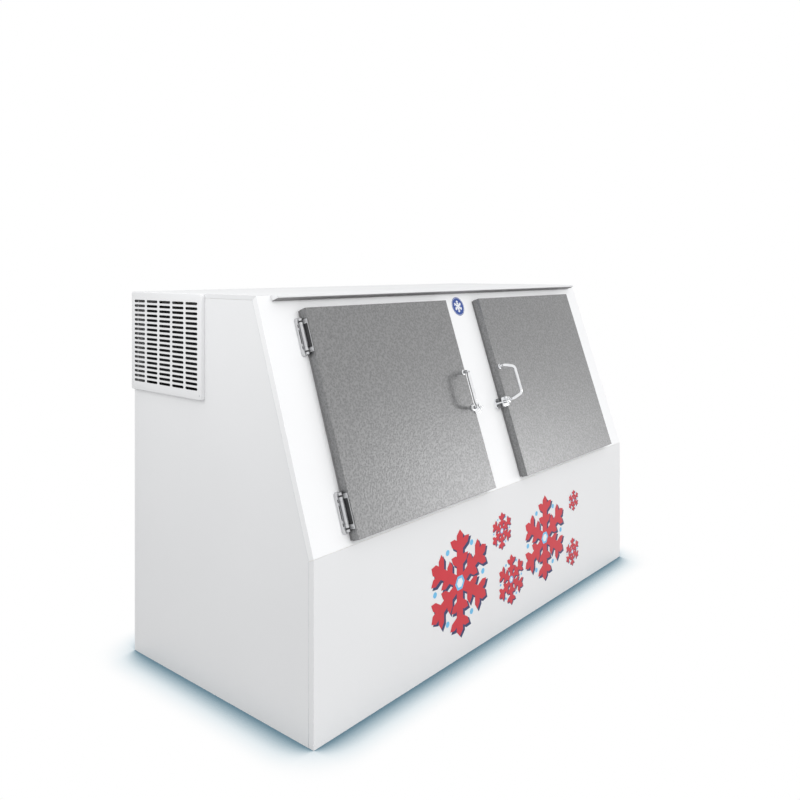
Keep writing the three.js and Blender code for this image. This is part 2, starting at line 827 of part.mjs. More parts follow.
// A slotted plate over the mullion, with an ear that the handle's lower foot clamps.
function haspTab() {
  const middle = door.width + (hasp.reach - hasp.onDoor) / 2;
  const length = hasp.onDoor + hasp.reach;
  const outline = roundedRectangle(length, hasp.height, hasp.cornerRadius, middle, haspMiddle);
  const z = [doorFace + fit, doorFace + fit + hasp.thickness];
  const plate = extrude(outline, hasp.thickness).translate(0, 0, z[0]);
  const footAt = [door.width - handle.fromEdge, handleMiddle - handle.footSpacing / 2];
  const ear = rod('z', handle.footRadius + hasp.earMargin, ...z, footAt, 14);
  const slotX = door.width + hasp.stapleOut;
  const slot = box(
    [slotX - hasp.slotLength / 2, slotX + hasp.slotLength / 2],
    [haspMiddle - hasp.slotWidth / 2, haspMiddle + hasp.slotWidth / 2],
    [doorFace - hasp.thickness, doorFace + 2 * hasp.thickness],
  );
  return cut(join(plate, ear), slot);
}

// The wire loop on the mullion that the hasp's slot drops over, on its block.
function haspStaple() {
  const x = door.width + hasp.stapleOut;
  const crown = doorFace + fit + hasp.thickness + hasp.stapleRise;
  const leg = hasp.stapleSpan / 2;
  const loop = [
    new THREE.Vector3(x - leg, haspMiddle, fit),
    new THREE.Vector3(x - leg, haspMiddle, crown),
    new THREE.Vector3(x + leg, haspMiddle, crown),
    new THREE.Vector3(x + leg, haspMiddle, fit),
  ];
  const block = roundedRectangle(hasp.baseLength, hasp.height, hasp.cornerRadius, x, haspMiddle);
  return join(
    tube(bentPath(loop, 2 * hasp.wire), hasp.wire, 18, 6),
    extrude(block, hasp.baseThickness).translate(0, 0, fit),
  );
}

// Fixed leaf: a bevelled bar with a row of grooves, two end knuckles and the pin.
function hingeFrameLeaf(y) {
  const pinX = -hinge.pinOffset;
  const half = hinge.length / 2;
  const leafX = -hinge.plateThickness - 4 * fit - hinge.leafWidth / 2;
  const outline = roundedRectangle(
    hinge.leafWidth - 2 * hinge.bevel,
    hinge.length - 2 * hinge.bevel,
    hinge.leafEndRadius - hinge.bevel,
    leafX,
    y,
  );
  const bar = extrude(outline, hinge.leafHeight - hinge.bevel, {
    bevelEnabled: true,
    bevelThickness: hinge.bevel,
    bevelSize: hinge.bevel,
    bevelSegments: 1,
  });
  const under = box([-far, far], [-far, far], [-far, fit]);
  const grooveX = leafX - hinge.leafWidth / 4 - hinge.bevel / 2;
  const nextGroove = hinge.longSlot / 2 + hinge.slotSpace + hinge.shortSlot / 2;
  const grooveShapes = [
    slotShape(hinge.slotWidth, hinge.shortSlot, grooveX, y - nextGroove),
    slotShape(hinge.slotWidth, hinge.longSlot, grooveX, y),
    slotShape(hinge.slotWidth, hinge.shortSlot, grooveX, y + nextGroove),
  ];
  const grooves = extrude(grooveShapes, 2 * hinge.slotDepth, slotted);
  grooves.translate(0, 0, hinge.leafHeight - hinge.slotDepth);
  const middle = hinge.knuckleLength / 2 + fit;
  const relief = rod('y', hinge.knuckleRadius + 1, y - middle, y + middle, [pinX, hinge.pinHeight]);
  const knuckleEnd = half - hinge.leafEndRadius / 2;
  const knuckles = [-1, 1].flatMap((end) => {
    const from = y + Math.min(end * middle, end * knuckleEnd);
    const to = y + Math.max(end * middle, end * knuckleEnd);
    const web = box(
      [pinX - hinge.pinRadius - fit, pinX + hinge.pinRadius + fit],
      [from, to],
      [hinge.leafHeight / 2, hinge.pinHeight],
    );
    return [rod('y', hinge.knuckleRadius, from, to, [pinX, hinge.pinHeight]), web];
  });
  const pin = rod('y', hinge.pinRadius, y - knuckleEnd, y + knuckleEnd, [pinX, hinge.pinHeight], 12);
  return join(cut(bar, under, grooves, relief), ...knuckles, pin);
}

// Moving leaf: a plate on the door's side that carries the middle knuckle.
function hingeDoorLeaf(y) {
  const pinX = -hinge.pinOffset;
  const half = hinge.knuckleLength / 2 - fit;
  const plateX = [-hinge.plateThickness - fit, -fit];
  const plate = box(
    plateX,
    [y - hinge.plateLength / 2, y + hinge.plateLength / 2],
    [hinge.plateFrom, doorFace - hinge.plateShort],
  );
  const web = box(
    [pinX, plateX[0] + fit],
    [y - half, y + half],
    [hinge.pinHeight - hinge.webHalf, hinge.pinHeight + hinge.webHalf],
  );
  const knuckle = rod('y', hinge.knuckleRadius, y - half, y + half, [pinX, hinge.pinHeight]);
  const bore = rod('y', hinge.pinRadius + fit, y - half - 1, y + half + 1, [pinX, hinge.pinHeight], 12);
  return cut(join(plate, web, knuckle), bore);
}

function doors() {
  for (const { name, sign } of sides) {
    // The left door is hinged at its left edge, the right door is its mirror image.
    const hand = (geometry) => (sign < 0 ? geometry : mirrored(geometry));
    const doorGroup = new THREE.Group();
    doorGroup.position.set(sign * (door.gap / 2 + door.width), door.fromBreak, 0);
    slantGroup.add(doorGroup);
    const add = (piece, geometry, material) => {
      place(doorGroup, `${name}_${piece}`, hand(geometry), material);
    };
    add('door_skin', doorSkin(), embossed);
    add('door_core', doorCore(), foam);
    add('door_liner', doorLiner(), plastic);
    add('door_gasket', doorGasket(), rubber);
    add('door_handle', doorHandle(), chrome);
    add('hasp_tab', haspTab(), chrome);
    add('hasp_staple', haspStaple(), chrome);
    for (const [i, level] of ['lower', 'upper'].entries()) {
      add(`hinge_door_leaf_${level}`, hingeDoorLeaf(hingeAt[i]), blackPaint);
      add(`hinge_frame_leaf_${level}`, hingeFrameLeaf(hingeAt[i]), chrome);
    }
  }
}

// ---------------------------------------------------------------- refrigeration unit

// A finned block along X with return bends on its front end.
function finnedCoil(x, y, z, plateZ, finPitch, bends) {
  const count = Math.round((y[1] - y[0]) / finPitch);
  const pitch = (y[1] - y[0]) / count;
  const groove = pitch * coil.finGap;
  const depth = coil.finDepth;
  const points = [[x[0], y[0]]];
  for (let i = 1; i < count; i += 1) {
    const from = y[0] + i * pitch;
    points.push([x[0], from - groove], [x[0] + depth, from - groove]);
    points.push([x[0] + depth, from], [x[0], from]);
  }
  points.push([x[0], y[1]], [x[1], y[1]], [x[1], y[0]]);
  const block = extrude(shapeOf(points), z[1] - z[0]).translate(0, 0, z[0]);
  const plate = coil.plate;
  const plates = [y[0], y[1] - plate].map((from) =>
    box([x[0] - plate, x[1] + plate], [from, from + plate], plateZ));
  const bendPitch = (z[1] - z[0]) / (bends + 1);
  const middle = (x[0] + x[1]) / 2;
  const returnBends = [];
  for (let i = 0; i < bends; i += 1) {
    const centre = z[0] + bendPitch * (i + 1);
    const bend = [
      new THREE.Vector3(middle, y[0] + plate, centre - bendPitch / 4),
      new THREE.Vector3(middle, y[0] - bendPitch / 3, centre - bendPitch / 4),
      new THREE.Vector3(middle, y[0] - bendPitch / 3, centre + bendPitch / 4),
      new THREE.Vector3(middle, y[0] + plate, centre + bendPitch / 4),
    ];
    returnBends.push(tube(bentPath(bend, bendPitch / 5), coil.bendTube, 8, 4));
  }
  return join(block, ...plates, ...returnBends);
}

// Hub and twisted blades, turning about X, drawn round the origin with a bore for the shaft.
function fanWheel(radius, hubRadius, hubLength) {
  const hub = rod('x', hubRadius, -hubLength / 2, hubLength / 2, [0, 0], 16);
  const from = Math.PI / 2 - blade.halfSpread;
  const to = Math.PI / 2 + blade.halfSpread;
  const blades = [];
  for (let i = 0; i < blade.count; i += 1) {
    const outline = new THREE.Shape();
    outline.absarc(0, 0, radius, from, to);
    outline.absarc(0, 0, hubRadius * 0.7, to, from, true);
    const sheet = extrude(outline, blade.sheet, { curveSegments: 3 }).translate(0, 0, -blade.sheet / 2);
    sheet.rotateY(blade.pitch + Math.PI / 2).rotateX((i * 2 * Math.PI) / blade.count);
    blades.push(sheet);
  }
  const bore = rod('x', unit.shaftRadius + 2 * fit, -hubLength, hubLength, [0, 0]);
  return cut(join(hub, ...blades), bore);
}

// How far a wheel's blades reach to either side of its middle, with running clearance.
const bladeReach = (radius) => radius * Math.sin(blade.halfSpread) * Math.sin(blade.pitch) + blade.clearance;

// Motor can, shaft and a cross bar that ends in two feet.
function fanMotor(radius, length, shaftLength, armSpan, armWidth) {
  const cone = length * motorEnd.length;
  const can = new THREE.LatheGeometry([
    new THREE.Vector2(0, 0),
    new THREE.Vector2(radius * motorEnd.radius, 0),
    new THREE.Vector2(radius, cone),
    new THREE.Vector2(radius, length - cone),
    new THREE.Vector2(radius * motorEnd.radius, length),
    new THREE.Vector2(0, length),
  ], 18).rotateZ(-Math.PI / 2);
  const shaft = rod('x', unit.shaftRadius, -shaftLength, 1, [0, 0]);
  const armX = [motorArm.x, motorArm.x + motorArm.sheet];
  const arm = box(armX, [-armWidth / 2, armWidth / 2], [-armSpan / 2, armSpan / 2]);
  return join(can, shaft, arm);
}

const machineMiddleY = machineFront + machine.depth / 2;
const unitFloor = machineFloor + fit;
const unitTop = unitFloor + unit.sheet;
const coilX = -halfWidth + unit.coilSetback;
const coilBackX = coilX + unit.coilThickness + coil.plate;
const coilZ = [unitTop + coil.clear, unitTop + coil.clear + unit.coilHeight];
const fanZ = (coilZ[0] + coilZ[1]) / 2;
const shroudX = [coilBackX + fit, coilBackX + fit + unit.shroudDepth];

const portAt = [machineMiddleY, machineFloor + machine.height * port.level];
const glandAt = [
  machineRight - controls.width / 2 - controls.fromBulkhead,
  machineFloor + machine.height * controls.glandLevel,
];
const compressorAt = [-halfWidth + machine.width * 0.56, machineMiddleY];

function condensingUnit() {
  const baseX = [-halfWidth + boardOut, machineRight - fit];
  const baseY = [machineFront + fit, halfDepth - skin.sheet - fit];
  const tray = box(baseX, baseY, [unitFloor, unitFloor + unit.flange]);
  const inside = box(
    [-far, baseX[1] - unit.sheet],
    [baseY[0] + unit.sheet, baseY[1] - unit.sheet],
    [unitTop, 2 * cabinet.height],
  );
  place(group, 'unit_base', cut(tray, inside), galvanised);

  const coilY = [machineMiddleY - unit.coilWidth / 2, machineMiddleY + unit.coilWidth / 2];
  const plateZ = [unitTop + fit, coilZ[1] + coil.clear / 2];
  const block = finnedCoil([coilX, coilBackX - coil.plate], coilY, coilZ, plateZ, unit.finPitch, coil.bends);
  place(group, 'condenser_coil', block, fins);

  const shroudZ = [unitTop + fit, coilZ[1]];
  const ringRadius = unit.fanRadius + blade.clearance;
  const fanAt = [machineMiddleY, fanZ];
  const shroud = cut(
    join(
      box(shroudX, coilY, shroudZ),
      rod('x', ringRadius + unit.ringWall, shroudX[1] - 1, shroudX[1] + unit.ringProud, fanAt, 32),
    ),
    box(
      [-far, shroudX[1] - unit.shroudSheet],
      [coilY[0] + unit.shroudSheet, coilY[1] - unit.shroudSheet],
      [shroudZ[0] + unit.shroudSheet, shroudZ[1] - unit.shroudSheet],
    ),
    rod('x', ringRadius, shroudX[0], far, fanAt, 32),
  );
  place(group, 'fan_shroud', shroud, galvanised);

  const fanX = shroudX[1] + unit.fanProud;
  const fan = fanWheel(unit.fanRadius, unit.hubRadius, unit.hubLength);
  place(group, 'condenser_fan', fan, fins).position.set(fanX, ...fanAt);

  const motorX = fanX + bladeReach(unit.fanRadius);
  const shaftLength = motorX - fanX + unit.hubLength / 2 + 2;
  const bolt = unit.fanRadius + motorArm.boltOut;
  const armSpan = 2 * (bolt + motorArm.past);
  const motor = fanMotor(unit.motorRadius, unit.motorLength, shaftLength, armSpan, unit.armWidth);
  const halfWide = motorArm.footWidth / 2;
  const half = motorArm.foot / 2;
  const standoffs = [-bolt, bolt].map((z) =>
    box([shroudX[1] + fit - motorX, motorArm.x + 1], [-halfWide, halfWide], [z - half, z + half]));
  const mesh = place(group, 'condenser_fan_motor', join(motor, ...standoffs), blackPaint);
  mesh.position.set(motorX, ...fanAt);
}

function compressor() {
  const r = unit.compressorRadius;
  const h = unit.compressorHeight;
  const floor = unit.canFloor;
  const profile = new THREE.Path();
  profile.moveTo(0, floor);
  profile.lineTo(r - unit.heel, floor);
  profile.absarc(r - unit.heel, floor + unit.heel, unit.heel, -Math.PI / 2, 0);
  profile.absellipse(0, h - unit.dome, r, unit.dome, 0, Math.PI / 2);
  const can = new THREE.LatheGeometry(profile.getPoints(2), 16).rotateX(Math.PI / 2);
  const weld = rod('z', r + unit.weldProud, h / 2, h / 2 + 2 * unit.weldProud, [0, 0], 16);
  const barEnd = r + unit.padRadius + unit.weldProud;
  const feet = [-1, 1].map((side) => {
    const middle = side * unit.footSpread;
    const y = [middle - unit.footBar / 2, middle + unit.footBar / 2];
    return box([-barEnd, barEnd], y, [floor, floor + unit.footSheet]);
  });
  const pads = [-1, 1].flatMap((sx) => [-1, 1].map((sy) =>
    rod('z', unit.padRadius, 0, floor + 1, [sx * r, sy * unit.footSpread], 10)));
  const boxHalf = unit.terminals / 2;
  const terminals = box(
    [-boxHalf, boxHalf],
    [-r - unit.terminalsProud, -r / 2],
    [h / 2 - boxHalf, h / 2 + boxHalf],
  );
  const outletZ = h - unit.dome - unit.dischargeReach;
  const outletX = -r - unit.dischargeReach;
  const outletY = r / 3;
  const stub = [
    new THREE.Vector3(-r / 2, outletY, outletZ),
    new THREE.Vector3(outletX, outletY, outletZ),
    new THREE.Vector3(outletX, outletY, outletZ + unit.dischargeReach + 3 * unit.dischargeRadius),
  ];
  const bend = 3 * unit.dischargeRadius;
  const discharge = tube(bentPath(stub, bend), unit.dischargeRadius, 10, 8);
  const body = join(can, weld, ...feet, ...pads, terminals, discharge);
  const mesh = place(group, 'compressor', body, blackPaint);
  mesh.position.set(compressorAt[0], compressorAt[1], unitTop + fit);
}

// Suction line, evaporator to compressor, and liquid line with its drier, both through the port.
function pipes() {
  const v = (x, y, z) => new THREE.Vector3(x, y, z);
  const coilEnd = evaporatorX[0] + evaporator.sheet + evaporator.pipeRoom;
  const suctionZ = portAt[1] + port.suctionAbove;
  const compressorSide = compressorAt[0] + unit.compressorRadius;
  const outletZ = unitTop + unit.compressorHeight * unit.suctionLevel;
  const suction = [
    v(compressorSide + fit, compressorAt[1], outletZ),
    v(compressorSide + run.suctionOut, compressorAt[1], outletZ),
    v(compressorSide + run.suctionOut, portAt[0], suctionZ),
    v(coilEnd, portAt[0], suctionZ),
  ];
  const suctionTube = tube(bentPath(suction, run.suctionBend), port.suctionRadius, 20, 8);
  place(group, 'suction_line', suctionTube, copper);

  const liquidZ = portAt[1] - port.liquidBelow;
  const liquidY = portAt[0] - port.liquidAside;
  const lowY = machineMiddleY + unit.compressorRadius + run.beside;
  const lowZ = unitTop + run.liquidLevel;
  const liquid = [
    v(coilBackX + unit.shroudDepth + run.fromBulkhead, lowY, lowZ),
    v(machineRight - run.fromBulkhead, lowY, lowZ),
    v(machineRight - run.fromBulkhead, liquidY, liquidZ),
    v(coilEnd, liquidY, liquidZ),
  ];
  const line = tube(bentPath(liquid, run.liquidBend), port.liquidRadius, 24, 6);
  const drierX = machineRight - drier.fromBulkhead;
  const drierCan = new THREE.LatheGeometry([
    new THREE.Vector2(0, -drier.half),
    new THREE.Vector2(drier.radius / 2, -drier.cone),
    new THREE.Vector2(drier.radius, -drier.straight),
    new THREE.Vector2(drier.radius, drier.straight),
    new THREE.Vector2(drier.radius / 2, drier.cone),
    new THREE.Vector2(0, drier.half),
  ], 12).rotateZ(-Math.PI / 2).translate(drierX, lowY, lowZ);
  const rest = box(
    [drierX - drier.foot, drierX + drier.foot],
    [lowY - drier.footHalfWidth, lowY + drier.footHalfWidth],
    [unitTop + fit, lowZ - drier.radius / 2],
  );
  place(group, 'liquid_line', join(line, drierCan, rest), copper);
}

const evaporatorX = [
  machineRight + machine.wall + evaporator.fromBulkhead,
  machineRight + machine.wall + evaporator.fromBulkhead + evaporator.length,
];
const evaporatorTop = cabinet.height - cabinet.wall - fit;
const evaporatorZ = [evaporatorTop - evaporator.height, evaporatorTop];
const evaporatorY = [machineFront, halfDepth - cabinet.wall - evaporator.fromBack];
const evaporatorMiddle = [(evaporatorY[0] + evaporatorY[1]) / 2, (evaporatorZ[0] + evaporatorZ[1]) / 2];

function evaporatorUnit() {
  const t = evaporator.sheet;
  const ringX = [evaporatorX[1] - 1, evaporatorX[1] + evaporator.ringProud];
  const ringRadius = evaporator.fanRadius + blade.clearance;
  const ring = rod('x', ringRadius, ...ringX, evaporatorMiddle, 28);
  const housing = cut(
    join(box(evaporatorX, evaporatorY, evaporatorZ), ring),
    box(
      [-far, evaporatorX[1] - t],
      [evaporatorY[0] + t, evaporatorY[1] - t],
      [evaporatorZ[0] + t, evaporatorZ[1] - t],
    ),
    rod('x', ringRadius - evaporator.ringWall, evaporatorX[1] - 20, far, evaporatorMiddle, 28),
  );
  place(group, 'evaporator_housing', housing, galvanised);

  const coilFrom = evaporatorX[0] + t + evaporator.pipeRoom + port.suctionRadius;
  const block = finnedCoil(
    [coilFrom, coilFrom + evaporator.coilLength],
    [evaporatorY[0] + evaporator.bendRoom, evaporatorY[1] - t - fit],
    [evaporatorZ[0] + t + coil.clear, evaporatorZ[1] - t - coil.clear],
    [evaporatorZ[0] + t + fit, evaporatorZ[1] - t - fit],
    evaporator.finPitch,
    coil.bends - 1,
  );
  place(group, 'evaporator_coil', block, fins);

  const fanX = evaporatorX[1] - evaporator.fanRecess;
  const fan = fanWheel(evaporator.fanRadius, evaporator.hubRadius, evaporator.hubLength);
  place(group, 'evaporator_fan', fan, fins).position.set(fanX, ...evaporatorMiddle);

  // The motor sits behind its wheel, so it is turned to point its shaft to the right.
  const clear = evaporatorZ[1] - evaporatorZ[0] - 2 * (t + fit);
  const motorX = fanX - bladeReach(evaporator.fanRadius);
  const shaftLength = fanX - motorX + evaporator.hubLength / 2 + 2;
  const motor = fanMotor(
    evaporator.motorRadius,
    evaporator.motorLength,
    shaftLength,
    clear,
    evaporator.armWidth,
  );
  motor.rotateZ(Math.PI);
  const mesh = place(group, 'evaporator_fan_motor', motor, blackPaint);
  mesh.position.set(motorX, ...evaporatorMiddle);
}

// Wiring box on the back panel, with the supply gland through the panel and the knob's shaft.
function controlBox() {
  const y1 = halfDepth - skin.sheet - fit;
  const right = machineRight - controls.fromBulkhead;
  const x = [right - controls.width, right];
  const z0 = glandAt[1] - controls.belowGland;
  const lap = controls.lidLap;
  const lidFace = y1 - controls.depth - controls.lidProud;
  const casing = box(x, [y1 - controls.depth, y1], [z0, z0 + controls.height]);
  const lid = box(
    [x[0] - lap, x[1] + lap],
    [lidFace, lidFace + controls.lidDepth],
    [z0 - lap, z0 + controls.height + lap],
  );
  const neckY = [y1 - controls.glandRoot, halfDepth + controls.glandProud];
  const neck = rod('y', controls.glandRadius, ...neckY, glandAt);
  const nutY = [halfDepth + fit, halfDepth + controls.nutHeight];
  const nut = rod('y', controls.glandRadius + controls.nut, ...nutY, glandAt, 6);
  const h = controls.knobHeight;
  const r = controls.knobRadius;
  const knobAt = [(x[0] + x[1]) / 2, z0 + controls.height * controls.knobLevel];
  const shaftLength = h * 0.7;
  const shaft = rod('y', controls.shaftRadius, lidFace - shaftLength, lidFace + 1, knobAt, 12);
  const holeY = [halfDepth - controls.wireReach, halfDepth + controls.wireReach];
  const wireHole = rod('y', controls.glandRadius / 2, ...holeY, glandAt, 12);
  place(group, 'control_box', cut(join(casing, lid, neck, nut, shaft), wireHole), galvanised);

  const dial = new THREE.LatheGeometry([
    new THREE.Vector2(0, 0),
    new THREE.Vector2(r, 0),
    new THREE.Vector2(r, controls.knobRim),
    new THREE.Vector2(r * controls.knobWaist, 1.5 * controls.knobRim),
    new THREE.Vector2(r * controls.knobTop, h),
    new THREE.Vector2(0, h),
  ], 20);
  const half = controls.pointer;
  const pointer = box([-half, half], [h - controls.pointerRoot, h + half], [0, r * controls.pointerLength]);
  const bore = rod('y', controls.shaftRadius + fit, -1, shaftLength + half, [0, 0], 12);
  const knob = cut(join(dial, pointer), bore).rotateX(Math.PI);
  place(group, 'thermostat_knob', knob, plastic).position.set(knobAt[0], lidFace - fit, knobAt[1]);
}

// ---------------------------------------------------------------- assembly

basePan();
outerSkins();
dripCap();
ventCover();
sideBoards();
crossBoards();
machineWalls();
innerLiner();
throats();
doors();
condensingUnit();
compressor();
pipes();
evaporatorUnit();
controlBox();

export default group;
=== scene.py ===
"""Looks for a two-door slant-front ice merchandiser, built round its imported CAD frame.

Metres, in the frame's axes: X to the right seen from the front, Y to the back, Z up.
"""

import json
import math

import bmesh
import bpy
from mathutils import Matrix, Vector


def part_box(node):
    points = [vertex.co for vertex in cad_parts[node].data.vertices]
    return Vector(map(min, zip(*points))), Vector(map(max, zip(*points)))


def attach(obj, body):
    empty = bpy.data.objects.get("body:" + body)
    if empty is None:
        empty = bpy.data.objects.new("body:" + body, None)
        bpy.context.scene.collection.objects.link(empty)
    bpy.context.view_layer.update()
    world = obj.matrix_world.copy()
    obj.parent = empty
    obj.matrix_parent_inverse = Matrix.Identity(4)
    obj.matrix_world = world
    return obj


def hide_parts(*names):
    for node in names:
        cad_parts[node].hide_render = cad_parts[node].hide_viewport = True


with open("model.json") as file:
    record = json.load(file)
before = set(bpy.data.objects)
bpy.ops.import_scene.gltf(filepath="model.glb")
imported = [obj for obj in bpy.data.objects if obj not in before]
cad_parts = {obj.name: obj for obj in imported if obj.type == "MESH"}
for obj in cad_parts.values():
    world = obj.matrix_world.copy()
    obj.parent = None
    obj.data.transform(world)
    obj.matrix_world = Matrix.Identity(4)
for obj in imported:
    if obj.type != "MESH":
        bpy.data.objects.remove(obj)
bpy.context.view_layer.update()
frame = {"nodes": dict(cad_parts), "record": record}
nodes = frame["nodes"]
scene = bpy.context.scene

# ------------------------------------------------------------------ measures taken from the frame

MM = 0.001

FRONT_LOW, FRONT_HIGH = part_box("front_lower_panel")
TOP_LOW, TOP_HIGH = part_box("top_panel")

SHEET_GAP = 0.2 * MM  # the sheets stop this short of the lines where they meet
BREAK = Vector((0, FRONT_LOW.y, FRONT_HIGH.z + SHEET_GAP))  # where the front turns to its slant
CREST = Vector((0, TOP_LOW.y - SHEET_GAP, TOP_HIGH.z))  # where the slant meets the top
SLANT = (CREST - BREAK).normalized()
OUT = Vector((0, -SLANT.z, SLANT.y))  # away from the slanted face
ACROSS = Vector((1, 0, 0))


def axes(origin, right, up, out):
    """The matrix that takes (right, up, out) of a face's own drawing to the frame."""
    turn = Matrix((right, up, out)).transposed().to_4x4()
    return Matrix.Translation(origin) @ turn


SLANTED = axes(BREAK, ACROSS, SLANT, OUT)
FRONT = axes((0, FRONT_LOW.y, 0), (1, 0, 0), (0, 0, 1), (0, -1, 0))
LEFT_SIDE = axes((TOP_LOW.x, 0, 0), (0, -1, 0), (0, 0, 1), (-1, 0, 0))
FRAME = Matrix.Identity(4)  # for shapes that are already in the frame's own axes


def reach(node, face):
    """A node's lowest and highest corner, measured in a face's own drawing."""
    turned = [face.inverted() @ vertex.co for vertex in nodes[node].data.vertices]
    low, high = (Vector(pick(v[i] for v in turned) for i in range(3)) for pick in (min, max))
    return low, high


# ------------------------------------------------------------------ shader helpers


def new_material(name):
    """A node material's tree with its Principled shader already joined to the output."""
    material = bpy.data.materials.new(name)
    material.use_nodes = True
    tree = material.node_tree
    return material, tree, tree.nodes["Principled BSDF"]


def add(tree, kind, **values):
    """A shader node with some of its sockets or properties set."""
    node = tree.nodes.new(kind)
    for key, value in values.items():
        if key in node.inputs:
            node.inputs[key].default_value = value
        else:
            setattr(node, key, value)
    return node


def object_coords(tree):
    """Positions in metres, which CAD nodes and new pieces share, because they sit at the origin."""
    return add(tree, "ShaderNodeTexCoord").outputs["Object"]


def noise(tree, coords, scale, detail=3.0):
    node = add(tree, "ShaderNodeTexNoise", Scale=scale, Detail=detail)
    tree.links.new(coords, node.inputs["Vector"])
    return node.outputs["Fac"]


def ramp(tree, fac, stops):
    """A colour ramp through (position, colour) stops."""
    node = add(tree, "ShaderNodeValToRGB")
    elements = node.color_ramp.elements
    while len(elements) < len(stops):
        elements.new(0.5)
    for element, (position, color) in zip(elements, stops):
        element.position = position
        element.color = (*color, 1)
    tree.links.new(fac, node.inputs["Fac"])
    return node.outputs["Color"]


def mix_colors(tree, kind, first, second, fac):
    """Two colours put together by a blend type such as ADD, as far as a number or a socket says."""
    node = add(tree, "ShaderNodeMixRGB", blend_type=kind)
    if isinstance(fac, float):
        node.inputs["Fac"].default_value = fac
    else:
        tree.links.new(fac, node.inputs["Fac"])
    tree.links.new(first, node.inputs["Color1"])
    tree.links.new(second, node.inputs["Color2"])
    return node.outputs["Color"]


def combine(tree, operation, first, second):
    """Two numbers put together by an operation such as MULTIPLY."""
    node = add(tree, "ShaderNodeMath", operation=operation)
    tree.links.new(first, node.inputs[0])
    tree.links.new(second, node.inputs[1])
    return node.outputs[0]


def remap(tree, fac, low, high):
    """A factor from 0 to 1 spread from low to high."""
    node = add(tree, "ShaderNodeMapRange")
    node.inputs["To Min"].default_value = low
    node.inputs["To Max"].default_value = high
    tree.links.new(fac, node.inputs["Value"])
    return node.outputs["Result"]


def mottle(tree, shader, fac, dark, light, spread=(0.3, 0.7)):
    """A colour that goes from one tone to another as a factor goes through a spread."""
    tone = ramp(tree, fac, list(zip(spread, (dark, light))))
    tree.links.new(tone, shader.inputs["Base Color"])


def roughen(tree, shader, fac, low, high):
    """A roughness that drifts from low to high with a factor."""
    tree.links.new(remap(tree, fac, low, high), shader.inputs["Roughness"])


def bump(tree, height, shader, distance, strength, under=None):
    """Relief from a height, on top of an earlier one if that is given."""
    node = add(tree, "ShaderNodeBump", Distance=distance, Strength=strength)
    tree.links.new(height, node.inputs["Height"])
    if under is not None:
        tree.links.new(under, node.inputs["Normal"])
    tree.links.new(node.outputs["Normal"], shader.inputs["Normal"])
    return node.outputs["Normal"]


def shade(color, spread):
    """Two neighbouring tones of one colour, darker and lighter."""
    return [tuple(c * (1 - spread) for c in color), tuple(min(1.0, c * (1 + spread)) for c in color)]


# ------------------------------------------------------------------ materials


ENAMEL = (0.828, 0.832, 0.837)
# The slanted face's enamel is painted lighter than the rest (painted light) and the top's darker (painted
# shade): lit and shaded copies of one white.
FACE_ENAMEL_PAINTED_LIGHT = (0.902, 0.905, 0.909)
TOP_ENAMEL_PAINTED_SHADE = (0.80, 0.804, 0.809)
# Past these depths the vent cover's faces take painted shade, near-black.
COVER_FACE = 1.4 * MM  # what lies deeper than this under the vent cover's louvred face is inside it
COVER_WALL = 2.2 * MM  # the same for its four walls


def white_enamel(name="white_enamel", color=ENAMEL, coat=0.15, specular=0.5):
    """Baked enamel on sheet steel: faint orange peel, and a slow drift in tone and gloss."""
    material, tree, shader = new_material(name)
    coords = object_coords(tree)
    dark, light = shade(color, 0.01)
    mottle(tree, shader, noise(tree, coords, 2.2), dark, light)
    roughen(tree, shader, noise(tree, coords, 9.0), 0.3, 0.4)
    shader.inputs["Specular IOR Level"].default_value = specular
    shader.inputs["Coat Weight"].default_value = coat
    shader.inputs["Coat Roughness"].default_value = 0.2
    bump(tree, noise(tree, coords, 420.0, 2.0), shader, 0.05 * MM, 0.35)
    return material


def cover_enamel():
    """The vent cover's enamel, with painted shade: the faces inside it are near-black, so that its slots
    read dark.
    """
    material, tree, shader = new_material("cover_enamel")
    coords = object_coords(tree)
    low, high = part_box("vent_cover")
    split = add(tree, "ShaderNodeSeparateXYZ")
    tree.links.new(coords, split.inputs["Vector"])
    inside = None
    for axis, operation, limit in (
        ("X", "GREATER_THAN", low.x + COVER_FACE),
        ("Y", "GREATER_THAN", low.y + COVER_WALL),
        ("Y", "LESS_THAN", high.y - COVER_WALL),
        ("Z", "GREATER_THAN", low.z + COVER_WALL),
        ("Z", "LESS_THAN", high.z - COVER_WALL),
    ):
        past = add(tree, "ShaderNodeMath", operation=operation)
        past.inputs[1].default_value = limit
        tree.links.new(split.outputs[axis], past.inputs[0])
        past = past.outputs[0]
        inside = past if inside is None else combine(tree, "MULTIPLY", inside, past)
    enamel = ramp(tree, noise(tree, coords, 2.2), [
        (0.3, (0.82, 0.824, 0.829)),
        (0.7, (0.836, 0.84, 0.845)),
    ])
    # Painted shade, near-black, for the faces inside the cover.
    inside_painted_shade = ramp(tree, noise(tree, coords, 60.0), [
        (0.3, (0.01, 0.01, 0.011)),
        (0.7, (0.02, 0.02, 0.021)),
    ])
    tree.links.new(mix_colors(tree, "MIX", enamel, inside_painted_shade, inside), shader.inputs["Base Color"])
    roughen(tree, shader, noise(tree, coords, 9.0), 0.3, 0.4)
    bump(tree, noise(tree, coords, 420.0, 2.0), shader, 0.05 * MM, 0.35)
    return material


